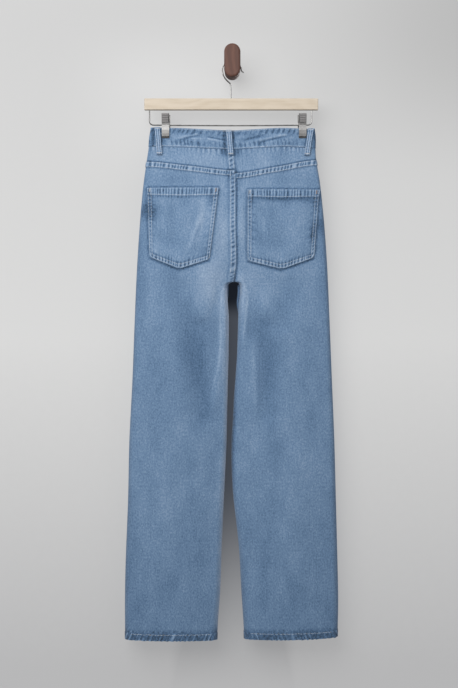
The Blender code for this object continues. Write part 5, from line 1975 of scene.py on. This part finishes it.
# %% Shader helpers
class Nodes:
    """A node tree with short words for its usual nodes."""

    def __init__(self, owner):
        owner.use_nodes = True
        self.tree = owner.node_tree

    def add(self, kind, inputs=(), **settings):
        made = self.tree.nodes.new("ShaderNode" + kind)
        for key, value in settings.items():
            setattr(made, key, value)
        for key, value in dict(inputs).items():
            socket = made.inputs[key]
            if isinstance(value, bpy.types.NodeSocket):
                self.tree.links.new(value, socket)
            else:
                socket.default_value = (*value, 1.0) if socket.type == "RGBA" else value
        return made

    def read(self, name, output="Fac"):
        return self.add("Attribute", attribute_name=name).outputs[output]

    def math(self, operation, a, b=0.0):
        return self.add("Math", {0: a, 1: b}, operation=operation).outputs[0]

    def split(self, vector):
        """The x, y and z of a vector."""
        return self.add("SeparateXYZ", {0: vector}).outputs

    def span(self, value, start, end):
        """0 at the start and 1 at the end, softly."""
        ends = {"Value": value, "From Min": start, "From Max": end}
        return self.add("MapRange", ends, interpolation_type="SMOOTHSTEP").outputs["Result"]

    def total(self, first, *parts):
        """first plus each (value, weight)."""
        total = first
        for value, weight in parts:
            terms = {0: value, 1: weight, 2: total}
            total = self.add("Math", terms, operation="MULTIPLY_ADD").outputs[0]
        return total

    def stretched(self, vector, scale):
        return self.add("VectorMath", {0: vector, 1: scale}, operation="MULTIPLY").outputs[0]

    def noise(self, vector, scale=1.0, detail=2.0, rough=0.5):
        settings = {"Vector": vector, "Scale": scale, "Detail": detail, "Roughness": rough}
        return self.math("SUBTRACT", self.add("TexNoise", settings).outputs["Fac"], 0.5)

    def ramp(self, value, stops):
        made = self.add("ValToRGB", {"Fac": value})
        elements = made.color_ramp.elements
        while len(elements) < len(stops):
            elements.new(0.5)
        for element, (place, colour) in zip(elements, stops):
            element.position = place
            element.color = (*colour, 1.0)
        return made.outputs["Color"]

    def blend(self, share, a, b, mode="MIX"):
        return self.add("Mix", {0: share, 6: a, 7: b}, data_type="RGBA", blend_type=mode).outputs[2]

    def spot(self):
        """The place in the row frame, in metres."""
        return self.add("TexCoord").outputs["Object"]


class Shader(Nodes):
    """The nodes of a new material, round its Principled surface."""

    def __init__(self, name, roughness, metallic=0.0, **sockets):
        self.material = bpy.data.materials.new(name)
        super().__init__(self.material)
        self.surface = self.tree.nodes["Principled BSDF"]
        self.surface.inputs["Roughness"].default_value = roughness
        self.surface.inputs["Metallic"].default_value = metallic
        for socket, value in sockets.items():
            self.surface.inputs[socket.replace("_", " ")].default_value = value

    def link(self, output, socket):
        self.tree.links.new(output, self.surface.inputs[socket])

    def relief(self, height, distance, strength):
        made = self.add("Bump", {"Height": height, "Distance": distance, "Strength": strength})
        self.link(made.outputs["Normal"], "Normal")

    def tint(self, value, *colours):
        """Colours the surface from the first colour at 0 to the last at 1."""
        stops = list(zip(np.linspace(0.0, 1.0, len(colours)), colours))
        self.link(self.ramp(value, stops), "Base Color")


print("node helpers: %d" % sum(not name.startswith("_") for name in dir(Shader)))

# %% [markdown]
# ## Denim
#
# Denim is woven from indigo warp and white weft. The indigo sits on the outside of the warp threads
# only, so wear takes it off the ridges first. Washed cloth then shows fine streaks along the warp,
# a mottle of a few millimetres and the slanting twill line of the weave. The inside shows mostly
# weft and is paler.

# %% Denim
TWILL_PITCH = 0.0011
DENIM_STOPS = [
    (0.0, (0.006, 0.011, 0.022)),
    (0.13, (0.034, 0.070, 0.126)),
    (0.25, (0.063, 0.123, 0.221)),
    (0.5, (0.137, 0.224, 0.352)),
    (0.72, (0.252, 0.338, 0.466)),
    (1.0, (0.46, 0.545, 0.66)),
]


def make_denim():
    s = Shader("denim", 0.9, Sheen_Weight=0.12, Sheen_Roughness=0.6, Specular_IOR_Level=0.25)
    weave = s.read("weave", "Vector")
    slub = s.noise(s.stretched(weave, (900.0, 80.0, 1.0)), detail=3.0)
    streak = s.noise(s.stretched(weave, (260.0, 50.0, 1.0)), detail=2.0)
    mottle = s.noise(s.stretched(weave, (330.0, 230.0, 1.0)), detail=2.5, rough=0.7)
    cloud = s.noise(s.stretched(weave, (26.0, 14.0, 1.0)), detail=2.0)
    across, along, _ = s.split(weave)
    diagonal = s.total(along, (across, 0.8))
    twill = s.math("SINE", s.math("MULTIPLY", diagonal, math.tau / TWILL_PITCH))
    grain = ((slub, 0.12), (streak, 0.16), (mottle, 0.70), (cloud, 0.2), (twill, 0.02))
    fade = s.total(s.read("fade"), *grain)
    colour = s.ramp(fade, DENIM_STOPS)
    inside_colour = s.blend(0.72, colour, (0.46, 0.52, 0.60))
    s.link(s.blend(s.read("inside"), colour, inside_colour), "Base Color")
    s.link(s.total(0.9, (slub, 0.12), (fade, -0.05)), "Roughness")
    height = s.total(s.math("MULTIPLY", twill, 0.5), (slub, 1.2), (mottle, 1.0))
    s.relief(height, 0.00022, 0.6)
    return s.material


def make_thread(name, light, dark):
    s = Shader(name, 0.7, Sheen_Weight=0.1)
    shade = s.read("shade")
    twist = s.noise(s.spot(), 1600.0, detail=1.0)
    s.tint(s.total(shade, (twist, 0.8)), dark, light)
    s.link(s.total(0.72, (twist, 0.2)), "Roughness")
    s.relief(twist, 0.0001, 0.5)
    return s.material


denim = make_denim()
light_thread = make_thread("light_thread", (0.56, 0.58, 0.61), (0.34, 0.38, 0.44))
brown_thread = make_thread("brown_thread", (0.34, 0.22, 0.15), (0.20, 0.14, 0.11))
for name, (piece, *_) in sheets.items():
    piece.data.materials.append(denim)
for name, piece in stitch_pieces.items():
    piece.data.materials.append(brown_thread if name == "tacks_right_corners" else light_thread)
print("denim: %d shells" % len(sheets))

# %% [markdown]
# ## Wood
#
# The bar is planed pine: pale, with soft growth lines along its length that bend here and there.
# The peg is oiled walnut: dark, with fine pores and a low sheen. Both are grain noise stretched
# along the wood.

# %% Pine and walnut
def make_wood(name, stops, along, scale, pore_colour, pore_share, roughness, coat):
    s = Shader(name, roughness, Coat_Weight=coat, Coat_Roughness=0.35, Specular_IOR_Level=0.4)
    spot = s.spot()

    def grained(scale, share):
        """The place, stretched so that what is drawn on it runs along the wood."""
        return s.stretched(spot, tuple(scale * (share if k == along else 1.0) for k in range(3)))

    bend = s.noise(grained(30.0, 0.3), detail=2.0)
    grain = s.noise(grained(scale, 0.035), detail=5.0, rough=0.62)
    x, _, z = s.split(grained(scale, 0.05))
    ring = s.math("SINE", s.total(s.math("MULTIPLY", z, 1.1), (x, 0.9), (bend, 26.0)))
    fine = s.noise(grained(3200.0, 0.02), detail=2.0)
    tone = s.total(0.5, (grain, 0.6), (ring, 0.08), (fine, 0.35))
    colour = s.ramp(tone, stops)
    pores = s.math("GREATER_THAN", s.math("ABSOLUTE", fine), 0.2)
    colour = s.blend(s.math("MULTIPLY", pores, pore_share), colour, pore_colour)
    s.link(colour, "Base Color")
    s.link(s.total(roughness, (grain, 0.22), (fine, 0.15)), "Roughness")
    s.relief(s.total(fine, (grain, 0.8)), 0.00012, 0.5)
    return s.material


PINE_STOPS = [
    (0.0, (0.37, 0.285, 0.195)),
    (0.45, (0.50, 0.428, 0.337)),
    (0.62, (0.54, 0.466, 0.375)),
    (1.0, (0.60, 0.53, 0.44)),
]
WALNUT_STOPS = [
    (0.0, (0.040, 0.017, 0.012)),
    (0.5, (0.093, 0.038, 0.026)),
    (1.0, (0.18, 0.088, 0.062)),
]
pine = make_wood("pine", PINE_STOPS, 0, 210.0, (0.50, 0.38, 0.26), 0.25, 0.6, 0.05)
walnut_face, walnut_neck = (
    make_wood(name, WALNUT_STOPS, along, 240.0, (0.03, 0.014, 0.010), 0.5, 0.62, 0.03)
    for name, along in (("walnut_face", 2), ("walnut_neck", 1))
)
print("woods: %s, %s and %s" % (pine.name, walnut_face.name, walnut_neck.name))

# %% [markdown]
# ## Metal, rubber and tape
#
# The wire and the clips are bright nickel-plated steel, brushed by handling. In the material their
# colour is kept dark, a painted reflection of dark surroundings. The grips and pads are black rubber
# with a dusty bloom; the zip's teeth and the button are dull plated brass. Fine scratches change the
# roughness more than the colour.

# %% Metal and rubber
def make_metal(name, dark, light, roughness, scale):
    s = Shader(name, roughness, metallic=1.0)
    spot = s.spot()
    cloud = s.noise(spot, 0.25 * scale, detail=3.0)
    brushed = s.noise(s.stretched(spot, (scale, scale, 12.0 * scale)), detail=3.0, rough=0.7)
    s.tint(s.total(0.5, (cloud, 0.9), (brushed, 0.5)), dark, light)
    s.link(s.total(roughness, (cloud, 0.25), (brushed, 0.3)), "Roughness")
    s.relief(brushed, 0.00004, 0.4)
    return s.material


def make_rubber(name, dark, light):
    s = Shader(name, 0.75, Specular_IOR_Level=0.35)
    spot = s.spot()
    dust = s.noise(spot, 420.0, detail=4.0, rough=0.65)
    cloud = s.noise(spot, 90.0, detail=2.0)
    s.tint(s.total(0.5, (dust, 0.8), (cloud, 0.6)), dark, light)
    s.link(s.total(0.75, (dust, 0.3)), "Roughness")
    s.relief(dust, 0.0001, 0.5)
    return s.material


def make_tape():
    s = Shader("zip_cloth", 0.9, Sheen_Weight=0.1)
    weave = s.read("weave", "Vector")
    across, along, _ = s.split(weave)
    rows = s.math("SINE", s.math("MULTIPLY", across, math.tau / 0.0012))
    lines = s.math("SINE", s.math("MULTIPLY", along, math.tau / 0.0009))
    threads_height = s.math("MULTIPLY", rows, lines)
    cloud = s.noise(s.stretched(weave, (300.0, 90.0, 1.0)), detail=3.0)
    tone = s.total(0.5, (threads_height, 0.22), (cloud, 0.7))
    s.tint(tone, (0.06, 0.09, 0.15), (0.16, 0.21, 0.30))
    s.link(s.total(0.88, (cloud, 0.15)), "Roughness")
    s.relief(threads_height, 0.0002, 0.7)
    return s.material


# Both steels are kept dark: a painted reflection of dark surroundings.
nickel = make_metal("nickel", (0.16, 0.158, 0.155), (0.34, 0.335, 0.33), 0.3, 300.0)
clip_steel = make_metal("clip_steel", (0.16, 0.157, 0.156), (0.30, 0.295, 0.293), 0.44, 260.0)
brass = make_metal("dull_brass", (0.36, 0.32, 0.26), (0.62, 0.57, 0.50), 0.34, 400.0)
rubber = make_rubber("black_rubber", (0.018, 0.018, 0.019), (0.075, 0.075, 0.078))
grip_rubber = make_rubber("grip_rubber", (0.10, 0.095, 0.095), (0.30, 0.29, 0.29))
zip_tape.data.materials.clear()  # it got denim with the other sheets
zip_tape.data.materials.append(make_tape())


def dress(material, *names):
    """Gives pieces and kept solids their material."""
    for name in names:
        owner = bpy.data.objects[name] if name in bpy.data.objects else frame["nodes"][name]
        owner.data.materials.clear()
        owner.data.materials.append(material)


clips = ["clip_%s_%s" % (side, face) for side in SIGN for face in OUTWARD]
dress(pine, "hanger_bar")
dress(walnut_neck, "peg_neck")
dress(walnut_face, "peg_plate")
dress(nickel, "hanger_wire", "hanger_hook", "clip_left_coil", "clip_right_coil")
dress(clip_steel, *clips)
dress(rubber, *(clip + "_pad" for clip in clips))
dress(grip_rubber, *(clip + "_grip" for clip in clips))
dress(brass, "zip_teeth", "zip_slider", "button_shell")
print("materials: %d" % len(bpy.data.materials))

# %% [markdown]
# ## Wall and floor
#
# A pale wall stands close behind and a pale floor below. Both are only a stage: they show from the
# room's side alone and take no part in the light on the jeans. The wall glows a little, which keeps
# the shadow on it faint. Its colour holds painted light: a painted falloff of light by height, a
# painted pool of light by the hanger, painted shade in the top right corner, and painted shadow where
# it can only be seen through the slit between the legs.

# %% Stage
# The ramp by height is a painted falloff of light: brightest in the middle, darker to the bottom and
# top.
WALL_STOPS = [
    (0.13, (0.450, 0.450, 0.455)),
    (0.42, (0.605, 0.605, 0.603)),
    (0.70, (0.535, 0.535, 0.535)),
]
WALL_GLOW = 0.74
WALL_SHARE = (0.34, 0.34, 0.34)
WALL_CORNER_SHADE = (0.44, 0.44, 0.44)
WALL_LIGHT_POOL = (0.60, 0.60, 0.60)
GAP_SHADE = (0.066, 0.074, 0.090)
GAP_TOP_SHADE = (0.012, 0.015, 0.021)


def make_stage_wall():
    s = Shader("pale_wall", 0.9, Specular_IOR_Level=0.1, Emission_Strength=WALL_GLOW)
    spot = s.spot()
    x, _, z = s.split(spot)
    plaster = s.noise(spot, 60.0, detail=5.0)
    colour = s.ramp(s.total(0.66, (z, 0.42), (plaster, 0.03)), WALL_STOPS)
    # Painted shade in the top right corner.
    corner = s.math("MULTIPLY", s.span(z, -0.26, 0.12), s.span(x, 0.04, 0.54))
    colour = s.blend(corner, colour, WALL_CORNER_SHADE)
    # A painted pool of light by the hanger.
    pool_side = s.span(s.math("ABSOLUTE", s.math("ADD", x, 0.10)), 0.30, 0.04)
    pool_up = s.span(s.math("ABSOLUTE", s.math("ADD", z, 0.08)), 0.22, 0.04)
    colour = s.blend(s.math("MULTIPLY", pool_side, pool_up), colour, WALL_LIGHT_POOL)
    # Painted shadow where the wall shows through the slit between the legs.
    beside = s.span(s.math("ABSOLUTE", s.math("ADD", x, -0.002)), 0.02, 0.14)
    above, below = s.span(z, -0.30, -0.16), s.span(z, -0.84, -1.36)
    lit = s.math("MAXIMUM", beside, s.math("MAXIMUM", above, below))
    shaded = s.blend(lit, s.blend(s.span(z, -0.53, -0.48), GAP_SHADE, GAP_TOP_SHADE), colour)
    s.link(s.blend(1.0, shaded, WALL_SHARE, "MULTIPLY"), "Base Color")
    s.link(shaded, "Emission Color")
    s.relief(plaster, 0.0003, 0.2)
    behind = s.add("NewGeometry").outputs["Backfacing"]
    clear = s.add("BsdfTransparent").outputs[0]
    both = s.add("MixShader", {0: behind, 1: s.surface.outputs[0], 2: clear})
    s.tree.links.new(both.outputs[0], s.tree.nodes["Material Output"].inputs["Surface"])
    return s.material


def stage_plane(name, corners, material):
    mesh = bpy.data.meshes.new(name)
    mesh.from_pydata(corners, [], [(0, 1, 2, 3)])
    mesh.materials.append(material)
    plane = bpy.data.objects.new(name, mesh)
    scene_objects.link(plane)
    plane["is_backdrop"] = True
    for ray in ("shadow", "diffuse", "glossy", "transmission"):
        setattr(plane, "visible_" + ray, False)


WALL_Y = 0.0006
FLOOR_Z = -1.5
SIDE = 2.2
FRONT = -3.0
wall_low, wall_high = -2.4, 1.4


def rectangle(low, high):
    """Corners between a low left and a high right one; y and z go up together."""
    return [(-SIDE, *low), (SIDE, *low), (SIDE, *high), (-SIDE, *high)]


stage_plane("backdrop", rectangle((WALL_Y, wall_low), (WALL_Y, wall_high)), make_stage_wall())
stage_plane("floor", rectangle((FRONT, FLOOR_Z), (0.0, FLOOR_Z)), make_stage_wall())
floor_gap = (WAIST_Z - HEM_DROP) * MM - FLOOR_Z
print("stage: a wall close behind and a floor %.2f m under the hems" % floor_gap)

# %% [markdown]
# ## Light
#
# A large soft window stands to the upper left, so the shadows on the wall stay faint. A weak lamp
# opens the right side, and another behind the wall only serves whoever looks at the fly side.

# %% Lights
SOFT_LIGHT = 68.0
FILL_LIGHT = 8.0
BEHIND_LIGHT = 34.0
AMBIENT = 0.56
SKY_LOW = (0.46, 0.46, 0.47)
SKY_HIGH = (1.0, 1.0, 1.0)


def area_light(name, place, target, size, power, colour):
    data = bpy.data.lights.new(name, "AREA")
    data.shape = "RECTANGLE"
    data.size, data.size_y = size
    data.energy = power
    data.color = colour
    lamp = bpy.data.objects.new(name, data)
    lamp.location = place
    lamp.rotation_euler = (Vector(target) - Vector(place)).to_track_quat("-Z", "Y").to_euler()
    scene_objects.link(lamp)


area_light("window", (-0.9, -2.0, 0.75), (0.0, -0.04, -0.35), (2.2, 2.0), SOFT_LIGHT, (1.0, 1.0, 0.99))
area_light("behind", (1.0, 2.6, 0.5), (0.0, -0.02, -0.5), (1.8, 1.8), BEHIND_LIGHT, (1.0, 1.0, 1.0))
area_light("fill", (2.4, -2.0, -0.2), (0.0, -0.04, -0.7), (1.8, 1.8), FILL_LIGHT, (0.95, 0.97, 1.0))

world = bpy.data.worlds.new("room")
bpy.context.scene.world = world
sky = Nodes(world)
_, _, up = sky.split(sky.add("TexCoord").outputs["Generated"])
height = sky.add("MapRange", {"Value": up, "From Min": -1.0}).outputs["Result"]
colour = sky.ramp(height, [(0.0, SKY_LOW), (1.0, SKY_HIGH)])
background = sky.tree.nodes["Background"]
sky.tree.links.new(colour, background.inputs["Color"])
background.inputs["Strength"].default_value = AMBIENT
bpy.context.scene.view_settings.view_transform = "Standard"
print("lights: window %.0f W, fill %.0f W" % (SOFT_LIGHT, FILL_LIGHT))

# Both boxes are written down to compare.

# %% Finish
seen_low, seen_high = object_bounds()
for axis, solids, dressed in zip("XYZ", cad_high - cad_low, seen_high - seen_low):
    print("%s: solids %.1f mm, dressed %.1f mm" % (axis, solids / MM, dressed / MM))
